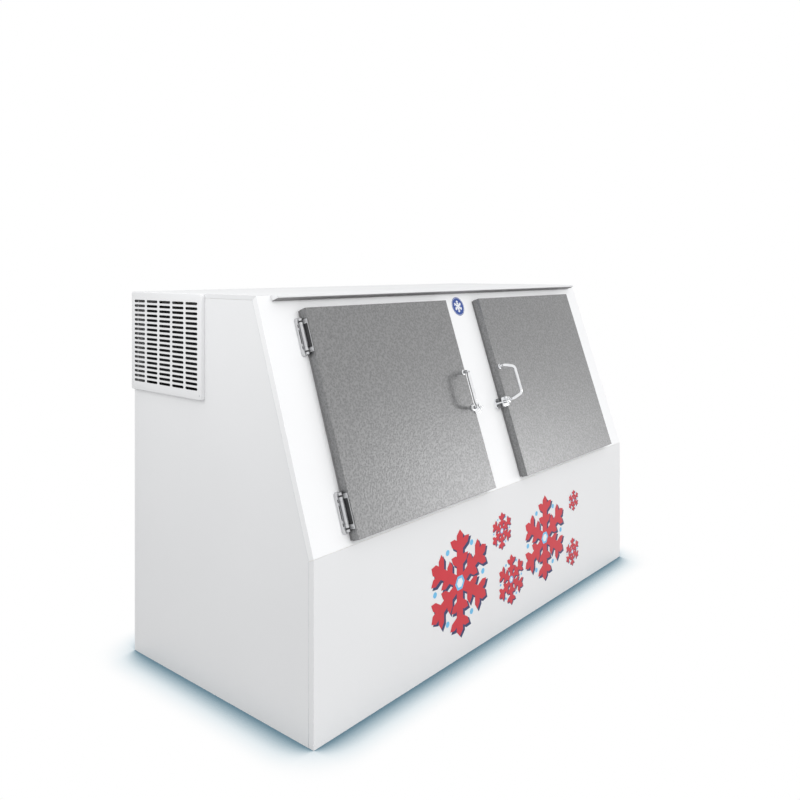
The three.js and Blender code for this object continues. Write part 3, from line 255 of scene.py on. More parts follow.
def embossed_aluminium():
    """Mill-finish sheet rolled with a close wavy pebble grain, coloured dark grey: painted dark reflection,
    the grey it shows, which a white studio would not give it.
    """
    material, tree, shader = new_material("embossed_aluminium")
    coords = object_coords(tree)
    bend = add(tree, "ShaderNodeTexNoise", Scale=110.0, Detail=2.0)
    tree.links.new(coords, bend.inputs["Vector"])
    bent = mix_colors(tree, "ADD", coords, bend.outputs["Color"], 0.012)
    cells = add(tree, "ShaderNodeTexVoronoi", feature="SMOOTH_F1", Scale=140.0, Smoothness=0.5)
    tree.links.new(bent, cells.inputs["Vector"])
    fine = noise(tree, coords, 700.0, 2.0)
    # Painted dark reflection: the base is far darker than aluminium's own.
    mottle(tree, shader, cells.outputs["Distance"], (0.180, 0.181, 0.183), (0.285, 0.286, 0.288), (0.0, 0.7))
    shader.inputs["Metallic"].default_value = 1.0
    roughen(tree, shader, fine, 0.3, 0.38)
    under = bump(tree, cells.outputs["Distance"], shader, 0.5 * MM, 0.55)
    bump(tree, fine, shader, 0.05 * MM, 0.3, under)
    return material


def chrome():
    material, tree, shader = new_material("chrome")
    coords = object_coords(tree)
    mottle(tree, shader, noise(tree, coords, 30.0), (0.80, 0.81, 0.83), (0.88, 0.89, 0.90))
    shader.inputs["Metallic"].default_value = 1.0
    roughen(tree, shader, noise(tree, coords, 140.0), 0.06, 0.14)
    return material


def satin_chrome():
    """Plated hinge leaves, rubbed dull, so that they mirror their surroundings as soft greys."""
    material, tree, shader = new_material("satin_chrome")
    coords = object_coords(tree)
    mottle(tree, shader, noise(tree, coords, 30.0), (0.55, 0.555, 0.565), (0.62, 0.625, 0.635))
    shader.inputs["Metallic"].default_value = 0.5
    roughen(tree, shader, noise(tree, coords, 140.0), 0.3, 0.38)
    return material


def galvanised_steel():
    """Zinc spangle in flat crystal patches."""
    material, tree, shader = new_material("galvanised_steel")
    coords = object_coords(tree)
    cells = add(tree, "ShaderNodeTexVoronoi", Scale=55.0)
    tree.links.new(coords, cells.inputs["Vector"])
    grey = add(tree, "ShaderNodeRGBToBW")
    tree.links.new(cells.outputs["Color"], grey.inputs["Color"])
    mottle(tree, shader, grey.outputs["Val"], (0.62, 0.635, 0.645), (0.78, 0.795, 0.805), (0.1, 0.9))
    shader.inputs["Metallic"].default_value = 0.7
    roughen(tree, shader, grey.outputs["Val"], 0.3, 0.5)
    return material


def gasket_rubber():
    material, tree, shader = new_material("gasket_rubber")
    coords = object_coords(tree)
    mottle(tree, shader, noise(tree, coords, 40.0), (0.24, 0.236, 0.24), (0.30, 0.296, 0.30))
    shader.inputs["Roughness"].default_value = 0.75
    bump(tree, noise(tree, coords, 900.0), shader, 0.05 * MM, 0.4)
    return material


def white_plastic():
    material, tree, shader = new_material("white_plastic")
    coords = object_coords(tree)
    dark, light = shade((0.76, 0.77, 0.76), 0.02)
    mottle(tree, shader, noise(tree, coords, 6.0), dark, light)
    roughen(tree, shader, noise(tree, coords, 25.0), 0.4, 0.55)
    bump(tree, noise(tree, coords, 520.0, 2.0), shader, 0.08 * MM, 0.4)
    return material


def insulation_foam():
    """Poured foam with its closed cells cut open here and there."""
    material, tree, shader = new_material("insulation_foam")
    coords = object_coords(tree)
    cells = add(tree, "ShaderNodeTexVoronoi", Scale=900.0)
    tree.links.new(coords, cells.inputs["Vector"])
    mottle(tree, shader, noise(tree, coords, 18.0), (0.70, 0.62, 0.38), (0.80, 0.73, 0.50))
    shader.inputs["Roughness"].default_value = 0.9
    bump(tree, cells.outputs["Distance"], shader, 0.4 * MM, 0.6)
    return material


def black_paint():
    material, tree, shader = new_material("black_paint")
    coords = object_coords(tree)
    mottle(tree, shader, noise(tree, coords, 35.0), (0.012, 0.012, 0.014), (0.028, 0.028, 0.03))
    roughen(tree, shader, noise(tree, coords, 60.0), 0.35, 0.55)
    bump(tree, noise(tree, coords, 600.0), shader, 0.08 * MM, 0.4)
    return material


def coil_fins():
    """Thin near-black fins, drawn as close lines across the block; the near-black is partly painted shade
    for the dark seen through the vent slots.
    """
    material, tree, shader = new_material("coil_fins")
    coords = object_coords(tree)
    lines = add(tree, "ShaderNodeTexWave", bands_direction="Y", Scale=90.0, Distortion=0.4)
    tree.links.new(coords, lines.inputs["Vector"])
    # Near-black tones: partly painted shade, for the dark behind the vent slots.
    mottle(tree, shader, lines.outputs["Fac"], (0.012, 0.012, 0.013), (0.06, 0.061, 0.063), (0.2, 0.6))
    shader.inputs["Metallic"].default_value = 0.9
    shader.inputs["Roughness"].default_value = 0.4
    bump(tree, lines.outputs["Fac"], shader, 0.6 * MM, 0.8)
    return material


def copper_tube():
    material, tree, shader = new_material("copper_tube")
    coords = object_coords(tree)
    mottle(tree, shader, noise(tree, coords, 24.0), (0.48, 0.20, 0.10), (0.72, 0.36, 0.21), (0.35, 0.65))
    shader.inputs["Metallic"].default_value = 1.0
    roughen(tree, shader, noise(tree, coords, 80.0), 0.2, 0.45)
    return material


def printed_vinyl(name, color):
    """Cut self-adhesive vinyl: even ink with a slight ripple in its gloss."""
    material, tree, shader = new_material(name)
    coords = object_coords(tree)
    dark, light = shade(color, 0.04)
    mottle(tree, shader, noise(tree, coords, 14.0), dark, light)
    roughen(tree, shader, noise(tree, coords, 40.0), 0.28, 0.4)
    bump(tree, noise(tree, coords, 160.0, 2.0), shader, 0.03 * MM, 0.4)
    return material


LEVELS = ("lower", "upper")  # a door's two hinges

MATERIALS = {
    "white_enamel": white_enamel(),
    "embossed_aluminium": embossed_aluminium(),
    "chrome": chrome(),
    "galvanised_steel": galvanised_steel(),
    "gasket_rubber": gasket_rubber(),
    "white_plastic": white_plastic(),
    "insulation_foam": insulation_foam(),
    "black_paint": black_paint(),
    "coil_fins": coil_fins(),
    "copper_tube": copper_tube(),
}


def paint(piece, material):
    """Gives a piece one material in every slot."""
    if not piece.material_slots:
        piece.data.materials.append(material)
    for slot in piece.material_slots:
        slot.link = "OBJECT"
        slot.material = material


def paint_frame():
    """Every carried-over CAD node takes the material of its slot in the record, or a near relation."""
    for part in frame["record"]["subparts"]:
        paint(nodes[part["node"]], MATERIALS[part["material_slot"]])
    # The slanted face takes the lighter copy of the enamel as painted light; the top and the drip cap take
    # the darker copy as painted shade.
    paint(nodes["front_frame"], white_enamel("white_enamel_face_painted_light", FACE_ENAMEL_PAINTED_LIGHT, coat=0, specular=0.3))
    top_painted_shade = white_enamel("white_enamel_top_painted_shade", TOP_ENAMEL_PAINTED_SHADE, coat=0, specular=0.1)
    paint(nodes["top_panel"], top_painted_shade)
    paint(nodes["drip_cap"], top_painted_shade)
    paint(nodes["vent_cover"], cover_enamel())
    for wheel in ("condenser_fan", "evaporator_fan"):
        paint(nodes[wheel], MATERIALS["galvanised_steel"])
    satin = satin_chrome()
    for side in ("left", "right"):
        for level in LEVELS:
            paint(nodes[f"{side}_hinge_frame_leaf_{level}"], satin)
            paint(nodes[f"{side}_hinge_door_leaf_{level}"], satin)


# ------------------------------------------------------------------ mesh helpers

# A shape is a pair of lists, its vertices and its faces, in some face's own drawing.


def together(*shapes):
    """Several closed shapes as one."""
    vertices, faces = [], []
    for points, polygons in shapes:
        start = len(vertices)
        vertices += [Vector(point) for point in points]
        faces += [[start + index for index in polygon] for polygon in polygons]
    return vertices, faces


def stacked(rings, closed=False):
    """A shape skinned over equal rings of points, capped at both ends unless it closes on itself."""
    count = len(rings[0])
    vertices = [point for ring in rings for point in ring]
    faces = []
    for level in range(len(rings) if closed else len(rings) - 1):
        low = level * count
        high = (level + 1) % len(rings) * count
        for i in range(count):
            j = (i + 1) % count
            faces.append([low + i, low + j, high + j, high + i])
    if not closed:
        faces.append(list(range(count))[::-1])
        faces.append([len(vertices) - count + i for i in range(count)])
    return vertices, faces


def arc(centre, radius, start, end, steps):
    """Points round part of a circle, with angles in degrees."""
    angles = [math.radians(start + (end - start) * i / steps) for i in range(steps + 1)]
    return [(centre[0] + radius * math.cos(a), centre[1] + radius * math.sin(a)) for a in angles]


def rounded_rectangle(low, high, radius, steps=6):
    """The outline of a rectangle between two corners, with its own corners rounded."""
    inner = [(high[0] - radius, low[1] + radius), (high[0] - radius, high[1] - radius)]
    inner += [(low[0] + radius, high[1] - radius), (low[0] + radius, low[1] + radius)]
    return [point for i, c in enumerate(inner) for point in arc(c, radius, 90 * i - 90, 90 * i, steps)]


def prism(outline, low, high):
    """An outline in the plane of a face, standing from one height above it to another."""
    return stacked([[(x, y, level) for x, y in outline] for level in (low, high)])


def lathe(profile, centre, sides=32):
    """(radius, height) points turned about an axis that stands on a face."""
    turns = [2 * math.pi * i / sides for i in range(sides)]
    rings = [
        [(centre[0] + r * math.cos(t), centre[1] + r * math.sin(t), height) for t in turns]
        for r, height in profile
    ]
    return stacked(rings)


BEND_STEPS = 8


def bent(corners, radius):
    """A path through corner points, with each inner corner rounded off."""
    corners = [Vector(corner) for corner in corners]
    path = [corners[0]]
    for before, corner, after in zip(corners, corners[1:], corners[2:]):
        start = corner + (before - corner).normalized() * radius
        end = corner + (after - corner).normalized() * radius
        for i in range(BEND_STEPS + 1):
            share = i / BEND_STEPS
            path.append(start.lerp(corner, share).lerp(corner.lerp(end, share), share))
    return path + [corners[-1]]


def sweep(path, radius, sides):
    """A round bar along a path, its rings turned from one to the next without twist."""
    tangents = [(after - before).normalized() for before, after in zip(path, path[1:])]
    tangents.append(tangents[-1])
    side = tangents[0].orthogonal().normalized()
    rings = []
    for i, point in enumerate(path):
        tangent = tangents[i] if i == 0 else (tangents[i] + tangents[i - 1]).normalized()
        side = (side - tangent * side.dot(tangent)).normalized()
        other = tangent.cross(side)
        turns = [2 * math.pi * k / sides for k in range(sides)]
        rings.append([point + (side * math.cos(t) + other * math.sin(t)) * radius for t in turns])
    return stacked(rings)


def mirrored(shape):
    """The other-handed copy of a shape, across the middle of the cabinet."""
    vertices, faces = shape
    return [Vector((-v[0], v[1], v[2])) for v in vertices], [polygon[::-1] for polygon in faces]


SHARP = math.radians(35)  # smooth shading stops at edges that turn more than this


def mesh_of(name, shape, face):
    """A mesh made from a shape drawn on a face: faces pointing out, smooth but for its sharp edges."""
    mesh = bpy.data.meshes.new(name)
    mesh.from_pydata([face @ Vector(v) for v in shape[0]], [], shape[1])
    body = bmesh.new()
    body.from_mesh(mesh)
    bmesh.ops.remove_doubles(body, verts=body.verts, dist=MM / 200)
    bmesh.ops.recalc_face_normals(body, faces=body.faces)
    body.to_mesh(mesh)
    body.free()
    mesh.polygons.foreach_set("use_smooth", [True] * len(mesh.polygons))
    mesh.set_sharp_from_angle(angle=SHARP)
    return mesh


def new_piece(name, shape, face, slot, body="cabinet", material=None, replaces=(), bevel=0.0):
    """A piece of the object that rides with a body and may stand for CAD nodes."""
    piece = bpy.data.objects.new(name, mesh_of(name, shape, face))
    scene.collection.objects.link(piece)
    paint(piece, material or MATERIALS[slot])
    if bevel:
        round_edges(piece, bevel)
    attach(piece, body)
    if replaces:
        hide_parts(*replaces)


def round_edges(piece, width, angle=38):
    """Breaks a piece's sharp edges, so that they catch the light."""
    edge = piece.modifiers.new("edge", "BEVEL")
    edge.width = width
    edge.segments = 2
    edge.limit_method = "ANGLE"
    edge.angle_limit = math.radians(angle)
    edge.harden_normals = True


def soften(node, width):
    """Broken edges and smooth shading for a CAD node, whose triangles come apart at their edges."""
    piece = nodes[node]
    normals = piece.data.attributes.get("custom_normal")
    if normals:
        piece.data.attributes.remove(normals)
    piece.data.polygons.foreach_set("use_smooth", [True] * len(piece.data.polygons))
    weld = piece.modifiers.new("weld", "WELD")
    weld.merge_threshold = MM / 100
    flat = piece.modifiers.new("flat", "DECIMATE")
    flat.decimate_type = "DISSOLVE"
    flat.angle_limit = math.radians(0.5)
    round_edges(piece, width, angle=50)


# ------------------------------------------------------------------ edges of the CAD nodes

# How wide the broken edges are, by material slot.
EDGE = {
    "white_enamel": 0.5 * MM,
    "embossed_aluminium": 1.0 * MM,
    "chrome": 0.4 * MM,
    "galvanised_steel": 0.3 * MM,
    "white_plastic": 0.5 * MM,
    "insulation_foam": 1.0 * MM,
    "black_paint": 0.4 * MM,
    "coil_fins": 0.2 * MM,
    "copper_tube": 0.2 * MM,
    "gasket_rubber": 0.4 * MM,
}


def soften_frame():
    """Broken edges on every carried-over CAD node."""
    for part in frame["record"]["subparts"]:
        soften(part["node"], EDGE[part["material_slot"]])


# ------------------------------------------------------------------ door furniture

FOOT_RADIUS = 10 * MM
FOOT_HEIGHT = 3 * MM
FOOT_FILLET = 1.2 * MM
NECK = 1.4 * MM  # the hollow round between a foot and the bar
PINHOLE = 0.5 * MM  # a foot's inner radius, where the bar fills it
SUNK = 0.2 * MM  # how far the foot's neck goes into the bar
BAR_RADIUS = 6.5 * MM
KNEE_RISE = 24 * MM
BEND = 12.5 * MM
SHORT_OF_FEET = 14 * MM  # the grip's corners lie this far inside the feet, along the slant
HASP_LIFT = 3.3 * MM  # the hasp tab's thickness under the lower foot


def handle():
    """A bright bent bar with a collar on each foot."""
    low, high = reach("left_door_handle", SLANTED)
    foot = high.x - FOOT_RADIUS
    grip = low.x + BAR_RADIUS
    lower = low.y + FOOT_RADIUS
    upper = high.y - FOOT_RADIUS
    top = high.z - BAR_RADIUS
    knee = reach("left_door_skin", SLANTED)[1].z + KNEE_RISE
    corners = [
        (foot, lower, low.z + HASP_LIFT),
        (foot, lower, knee),
        (grip, lower + SHORT_OF_FEET, top),
        (grip, upper - SHORT_OF_FEET, top),
        (foot, upper, knee),
        (foot, upper, low.z),
    ]
    parts = [sweep(bent(corners, BEND), BAR_RADIUS, 24)]
    for along, seat in ((lower, low.z + HASP_LIFT), (upper, low.z)):
        edge = (FOOT_RADIUS - FOOT_FILLET, seat + FOOT_HEIGHT - FOOT_FILLET)
        hollow = (BAR_RADIUS + NECK, seat + FOOT_HEIGHT + NECK)
        fillet = arc(edge, FOOT_FILLET, 0, 90, 4)
        neck = arc(hollow, NECK, 270, 180, 4)
        top_of_foot = neck[-1][1]
        profile = [(PINHOLE, seat), (FOOT_RADIUS, seat), *fillet, *neck]
        profile += [(BAR_RADIUS - SUNK, top_of_foot), (PINHOLE, top_of_foot)]
        parts.append(lathe(profile, (foot, along)))
    return together(*parts)


STAPLE_BASE = 8 * MM
STAPLE_CORNER = 6 * MM
LOOP_HALF = 8 * MM
LOOP_BEND = 6 * MM
LOOP_BURIED = 2 * MM  # how far the wire's ends go into the block
WIRE_RADIUS = 3 * MM
STAPLE_EDGE = ((0, 1.4 * MM), (0.4 * MM, 0.4 * MM), (1.4 * MM, 0))  # (inward, down) round the block's top


def staple():
    """The wire loop that takes a padlock, standing on its block."""
    low, high = reach("left_hasp_staple", SLANTED)
    middle_x = (low.x + high.x) / 2
    middle_y = (low.y + high.y) / 2
    crown = high.z - WIRE_RADIUS
    block_top = low.z + STAPLE_BASE
    buried = block_top - LOOP_BURIED
    loop = [
        (middle_x - LOOP_HALF, middle_y, buried),
        (middle_x - LOOP_HALF, middle_y, crown),
        (middle_x + LOOP_HALF, middle_y, crown),
        (middle_x + LOOP_HALF, middle_y, buried),
    ]
    rings = []
    for shrink, level in ((0, low.z), *((inward, block_top - down) for inward, down in STAPLE_EDGE)):
        corners = (low.x + shrink, low.y + shrink), (high.x - shrink, high.y - shrink)
        rings.append([(x, y, level) for x, y in rounded_rectangle(*corners, STAPLE_CORNER - shrink)])
    block = stacked(rings)
    return together(block, sweep(bent(loop, LOOP_BEND), WIRE_RADIUS, 18))


SLOT_FLOOR = 5.7 * MM  # a hinge groove's floor above the slanted face
SLOT_SHADE_HEIGHT = 2.7 * MM  # how high the black strip of painted shade stands in it
SLOT_HALF = 1.95 * MM
SLOT_INSET = 4.35 * MM  # the grooves' middle line, from the fixed leaf's outer edge
SLOTS = ((-34.5 * MM, 5.2 * MM), (0, 22.2 * MM), (34.5 * MM, 5.2 * MM))  # (place along, half length)


def hinge_slot_painted_shade():
    """Black strips in the grooves of one side's two fixed leaves: painted shade for the dark in the grooves.
    """
    shapes = []
    for level in LEVELS:
        low, high = reach(f"left_hinge_frame_leaf_{level}", SLANTED)
        middle = (low.y + high.y) / 2
        across = low.x + SLOT_INSET
        for place, half_length in SLOTS:
            centre = middle + place
            ends = half_length - SLOT_HALF
            outline = arc((across, centre + ends), SLOT_HALF, 0, 180, 8)
            outline += arc((across, centre - ends), SLOT_HALF, 180, 360, 8)
            shapes.append(prism(outline, SLOT_FLOOR, SLOT_FLOOR + SLOT_SHADE_HEIGHT))
    return together(*shapes)


LEAF = 3 * MM  # the moving leaf's thickness
PAD_HALF = 38 * MM
PAD_LOW, PAD_HIGH = 15.5 * MM, 33 * MM  # above the slanted face
PAD_CORNER = 3 * MM
PAD_EDGE = 0.3 * MM
PAD_PROUD, PAD_CLEAR = 1.1 * MM, 0.1 * MM  # the pad's outer and inner side, from the leaf's outer one
PIN_INSET = 5.6 * MM
PIN_HEIGHT = 13.5 * MM
RING_RADIUS = 6.1 * MM
RING_SPAN = (45 * MM, 50 * MM)  # from the hinge's middle


def hinge_pad_painted_shade():
    """Black pads on the middle of each of one side's two moving leaves: painted shade and painted dark
    reflection on their plates.
    """
    shapes = []
    for level in LEVELS:
        low, high = reach(f"left_hinge_door_leaf_{level}", SLANTED)
        middle = (low.y + high.y) / 2
        outer = high.x - LEAF
        corners = (middle - PAD_HALF, PAD_LOW), (middle + PAD_HALF, PAD_HIGH)
        outline = rounded_rectangle(*corners, PAD_CORNER, 4)
        vertices, faces = prism(outline, outer - PAD_PROUD, outer - PAD_CLEAR)
        shapes.append(([(v[2], v[0], v[1]) for v in vertices], faces))
    return together(*shapes)


def hinge_ring_painted_shade():
    """Black rings at the ends of one side's two knuckles: painted shade for the dark gaps there."""
    shapes = []
    for level in LEVELS:
        low, high = reach(f"left_hinge_door_leaf_{level}", SLANTED)
        middle = (low.y + high.y) / 2
        circle = arc((low.x + PIN_INSET, PIN_HEIGHT), RING_RADIUS, 0, 345, 23)
        for end in (-1, 1):
            near, far = sorted(middle + end * at for at in RING_SPAN)
            shapes.append(stacked([[(x, along, z) for x, z in circle] for along in (near, far)]))
    return together(*shapes)


GASKET_LIP = 3 * MM  # the foot's soft edge reaches this far past the moulded part
GASKET_WIDTH = 22 * MM + GASKET_LIP
GASKET_WAIST = 1.6 * MM
GASKET_STEPS = 24


def gasket():
    """A magnetic seal seen from outside: a frame whose sides draw in twice, like bellows."""
    low, high = reach("left_door_gasket", SLANTED)
    depth = high.z - low.z
    low -= Vector((GASKET_LIP, GASKET_LIP, 0))
    high += Vector((GASKET_LIP, GASKET_LIP, 0))
    outer = []
    for i in range(GASKET_STEPS + 1):
        inset = GASKET_WAIST * (1 - math.cos(4 * math.pi * i / GASKET_STEPS)) / 2
        outer.append((inset, high.z - depth * i / GASKET_STEPS))
    inner = [(GASKET_WIDTH - inset, level) for inset, level in outer[::-1]]
    rings = []
    for x, y, right, up in (
        (low.x, low.y, 1, 1), (high.x, low.y, -1, 1), (high.x, high.y, -1, -1), (low.x, high.y, 1, -1),
    ):
        rings.append([(x + right * inset, y + up * inset, level) for inset, level in outer + inner])
    return stacked(rings, closed=True)


def fit(side, name, shape, slot, body="cabinet", **more):
    """A piece of the left door's furniture, or its mirror image for the right door."""
    hand = mirrored(shape) if side == "right" else shape
    new_piece(f"{side}_{name}", hand, SLANTED, slot, body, **more)


def door_furniture():
    """Everything on and beside each door that CAD draws plainly or not at all."""
    for side in ("left", "right"):
        door = f"{side}_door"
        fit(side, "handle_bar", handle(), "chrome", door, replaces=[f"{side}_door_handle"])
        fit(side, "staple_loop", staple(), "chrome", replaces=[f"{side}_hasp_staple"])
        fit(side, "hinge_slot_painted_shade", hinge_slot_painted_shade(), "black_paint")
        fit(side, "hinge_pad_painted_shade", hinge_pad_painted_shade(), "black_paint", door, bevel=PAD_EDGE)
        fit(side, "hinge_ring_painted_shade", hinge_ring_painted_shade(), "black_paint")
        fit(side, "bellows_gasket", gasket(), "gasket_rubber", door, replaces=[f"{side}_door_gasket"])


# ------------------------------------------------------------------ trim and fasteners


def pan_head(centre, radius, height):
    """A domed screw head with a washer face."""
    angles = [math.radians(10 * i) for i in range(9)]
    dome = [(radius * math.cos(a), centre[2] + height * (0.35 + 0.65 * math.sin(a))) for a in angles]
    rim = [(radius * 0.98, centre[2]), (radius, centre[2] + height * 0.1)]
    return lathe(rim + dome, centre, 20)


# A dark strip under the drip cap: painted shade for the shadow beneath it.
STRIP_DROP = 2 * MM  # how far the strip shows under the drip cap
STRIP_TUCK = 0.6 * MM  # how far it goes up into the cap
STRIP_SHORT = 2 * MM  # how far its ends stop short of the cap's
STRIP_LOW, STRIP_HIGH = 0.2 * MM, 27 * MM  # from the cap's underside outward
CAP_SCREWS = (-0.895, -0.333, 0.228, 0.790)  # across
CAP_SCREW_ROW = 17 * MM  # in front of the crest, on the cap's flat top
VENT_SCREW = (-0.054, 0.943)  # on the vent cover, as (-Y, Z)


def trim():
    """The dark strip under the drip cap, painted shade for the shadow beneath it, the screws in its top and
    the screw in the vent cover.
    """
    low, high = reach("drip_cap", SLANTED)
    corners = (low.x + STRIP_SHORT, low.y - STRIP_DROP), (high.x - STRIP_SHORT, low.y + STRIP_TUCK)
    outline = rounded_rectangle(*corners, 1.2 * MM, 3)
    new_piece(
        "cap_painted_shade_strip", prism(outline, low.z + STRIP_LOW, low.z + STRIP_HIGH), SLANTED, "gasket_rubber"
    )
    row = CREST.y - CAP_SCREW_ROW
    heads = [pan_head((x, row, CREST.z), 3.6 * MM, 1.6 * MM) for x in CAP_SCREWS]
    new_piece("cap_screws", together(*heads), FRAME, "white_enamel")
    head = pan_head((*VENT_SCREW, reach("vent_cover", LEFT_SIDE)[1].z), 3.4 * MM, 1.5 * MM)
    new_piece("vent_cover_screw", head, LEFT_SIDE, "galvanised_steel")


SEAM_INSET = 21 * MM  # from the front's outline
SEAM_WIDTH = 0.9 * MM
SEAM_SUNK, SEAM_PROUD = 0.1 * MM, 0.12 * MM
SEAM_END = 2 * MM  # the line stops this short of the floor and of the top


def front_outline(inset):
    """The front's outline seen from the left, moved inward, from the floor to the top."""
    lean = (CREST.y - BREAK.y) / (CREST.z - BREAK.z)
    cut = math.sqrt(1 + lean * lean)
    return [
        (-BREAK.y - inset, SEAM_END),
        (-BREAK.y - inset, BREAK.z - inset * (cut - 1) / lean),
        (-CREST.y - inset * cut + SEAM_END * lean, CREST.z - SEAM_END),
    ]


def seams():
    """The folded joint of each side panel, a fine sealed line along the front's two straights."""
    outline = front_outline(SEAM_INSET) + front_outline(SEAM_INSET + SEAM_WIDTH)[::-1]
    vertices, faces = prism(outline, -SEAM_SUNK, SEAM_PROUD)
    left = [LEFT_SIDE @ Vector(v) for v in vertices], faces
    new_piece("left_side_seam", left, FRAME, "galvanised_steel")
    new_piece("right_side_seam", mirrored(left), FRAME, "galvanised_steel")


# ------------------------------------------------------------------ printed motifs

VINYL = 0.12 * MM
LAYER = 0.2 * MM  # each sheet of vinyl lies this far in front of the one before
BRANCHES = ((0.36, 0.20), (0.66, 0.24))  # (place on the arm, length), as parts of the radius


def snowflake(centre, radius, bold):
    """The outline of a six-armed ice crystal with branches on each arm, bold by a part of its radius."""
    half = radius * bold
    tan, sin = math.tan(math.radians(60)), math.sin(math.radians(60))
    upper = []
    for start, length in BRANCHES:
        root = radius * start
        thick = half * 0.8
        tip = (root + radius * length * 0.5, radius * length * sin)
        upper.append((root + half / tan - thick / sin, half))
        upper.append((tip[0] - thick * sin, tip[1] + thick * 0.5))
        upper.append((tip[0] + thick * 0.7, tip[1] + thick * 1.2))
        upper.append((tip[0] + thick * sin, tip[1] - thick * 0.5))
        upper.append((root + half / tan + thick / sin, half))
    upper.append((radius - half, half))
    arm = [(x, -y) for x, y in upper] + [(radius, 0)] + upper[::-1]
    arm.append((2 * half * sin, half))
    outline = []
    for i in range(6):
        turn = math.radians(60 * i + 30)
        for x, y in arm:
            outline.append((
                centre[0] + x * math.cos(turn) - y * math.sin(turn),
                centre[1] + x * math.sin(turn) + y * math.cos(turn),
            ))
    return outline


# (across, height, radius) of each crystal on the upright front, in metres.
CRYSTALS = (
    (-0.29, 0.262, 0.185), (-0.025, 0.375, 0.070), (0.040, 0.175, 0.095),
    (0.29, 0.268, 0.170), (0.520, 0.150, 0.060), (0.530, 0.365, 0.045),
)
# Parts of a crystal's radius.
SHADOW_DROP = 0.05
SHADOW_BOLD, CRYSTAL_BOLD = 0.112, 0.098
RIM, HEART, BEAD = 0.15, 0.095, 0.055
BEADS_AT = 0.76  # how far out the beads of frost lie

DISC_MIDDLE = (0.010, 0.704)  # across, and up the slant
DISC_RADIUS = 38 * MM
DISC_RING = (34.4 * MM, 35.6 * MM)
EMBLEM_RADIUS, EMBLEM_BOLD = 25 * MM, 0.09


def sheet(outline, layer):
    """Vinyl cut to an outline, so many layers above the lowest."""
    return prism(outline, LAYER * (layer + 1), LAYER * (layer + 1) + VINYL)


def motifs():
    """Red ice crystals with navy shadows, pale hearts and beads of frost, and a disc on the mullion."""
    navy = printed_vinyl("vinyl_navy", (0.010, 0.020, 0.105))
    red = printed_vinyl("vinyl_red", (0.600, 0.012, 0.028))
    sky = printed_vinyl("vinyl_sky", (0.150, 0.520, 0.820))
    snow = printed_vinyl("vinyl_snow", (0.860, 0.880, 0.900))
    shadows, crystals, rims, hearts = [], [], [], []
    for across, height, radius in CRYSTALS:
        drop = radius * SHADOW_DROP
        shadows.append(sheet(snowflake((across + drop, height - drop), radius, SHADOW_BOLD), 0))
        crystals.append(sheet(snowflake((across, height), radius, CRYSTAL_BOLD), 1))
        rims.append(sheet(arc((across, height), radius * RIM, 0, 300, 5), 2))
        hearts.append(sheet(arc((across, height), radius * HEART, 0, 300, 5), 3))
        for turn in range(0, 360, 60):
            x = across + BEADS_AT * radius * math.cos(math.radians(turn))
            z = height + BEADS_AT * radius * math.sin(math.radians(turn))
            rims.append(sheet(arc((x, z), radius * BEAD, 0, 345, 23), 0))
    for name, shapes, ink in (
        ("motif_shadows", shadows, navy), ("motif_crystals", crystals, red),
        ("motif_rims", rims, sky), ("motif_hearts", hearts, snow),
    ):
        new_piece(name, together(*shapes), FRONT, "white_plastic", material=ink)

    blue = printed_vinyl("vinyl_blue", (0.012, 0.060, 0.300))
    disc = arc(DISC_MIDDLE, DISC_RADIUS, 0, 352.5, 47)
    new_piece("mullion_disc", sheet(disc, 0.5), SLANTED, "white_plastic", material=blue)
    inner, outer = DISC_RING
    low = LAYER * 2.5
    ring = [[(x, y, level) for x, y in arc(DISC_MIDDLE, radius, 0, 352.5, 47)] for radius, level in (
        (inner, low), (outer, low), (outer, low + VINYL), (inner, low + VINYL),
    )]
    crystal = sheet(snowflake(DISC_MIDDLE, EMBLEM_RADIUS, EMBLEM_BOLD), 1.5)
    emblem = together(crystal, stacked(ring, closed=True))
    new_piece("mullion_emblem", emblem, SLANTED, "white_plastic", material=snow)


# ------------------------------------------------------------------ camera, lights and stage


def make_camera():
    """The photograph's view, found by fitting a camera to the cabinet's edges."""
    focal_px = 795.3
    horizon_px = 267.8
    image_px = 800
    sensor = 36.0
    camera = bpy.data.cameras.new("camera")
    camera.sensor_width = sensor
    camera.lens = focal_px / image_px * sensor
    camera.shift_y = (horizon_px - image_px / 2) / image_px
    camera.clip_start = 0.05
    camera.clip_end = 200
    holder = bpy.data.objects.new("camera", camera)
    holder.location = (-2.5286, -2.0809, 1.3536)
    holder.rotation_euler = (math.radians(90), 0, math.radians(-49.75))
    scene.collection.objects.link(holder)
    scene.camera = holder


def area_light(name, place, target, size, power, sheen=False):
    """A soft lamp that lights but doesn't show, or one for sheen that only shows in gloss."""
    light = bpy.data.lights.new(name, "AREA")
    light.shape = "RECTANGLE"
    light.size, light.size_y = size
    light.energy = power
    holder = bpy.data.objects.new(name, light)
    holder.location = place
    direction = Vector(target) - Vector(place)
    holder.rotation_euler = direction.to_track_quat("-Z", "Y").to_euler()
    holder.visible_camera = False
    holder.visible_glossy = sheen
    holder.visible_diffuse = not sheen
    scene.collection.objects.link(holder)


def ray_is(tree, *kinds):
    """1 for rays of the named kinds, such as camera and glossy rays, and 0 for all others."""
    path = add(tree, "ShaderNodeLightPath")
    total = path.outputs[f"Is {kinds[0]} Ray"]
    for kind in kinds[1:]:
        total = combine(tree, "MAXIMUM", total, path.outputs[f"Is {kind} Ray"])
    return total


def blend_shaders(tree, fac, first, second):
    """The first shader where a factor is 0, and the second where it is 1."""
    mix = add(tree, "ShaderNodeMixShader")
    tree.links.new(fac, mix.inputs["Fac"])
    tree.links.new(first, mix.inputs[1])
    tree.links.new(second, mix.inputs[2])
    return mix.outputs["Shader"]


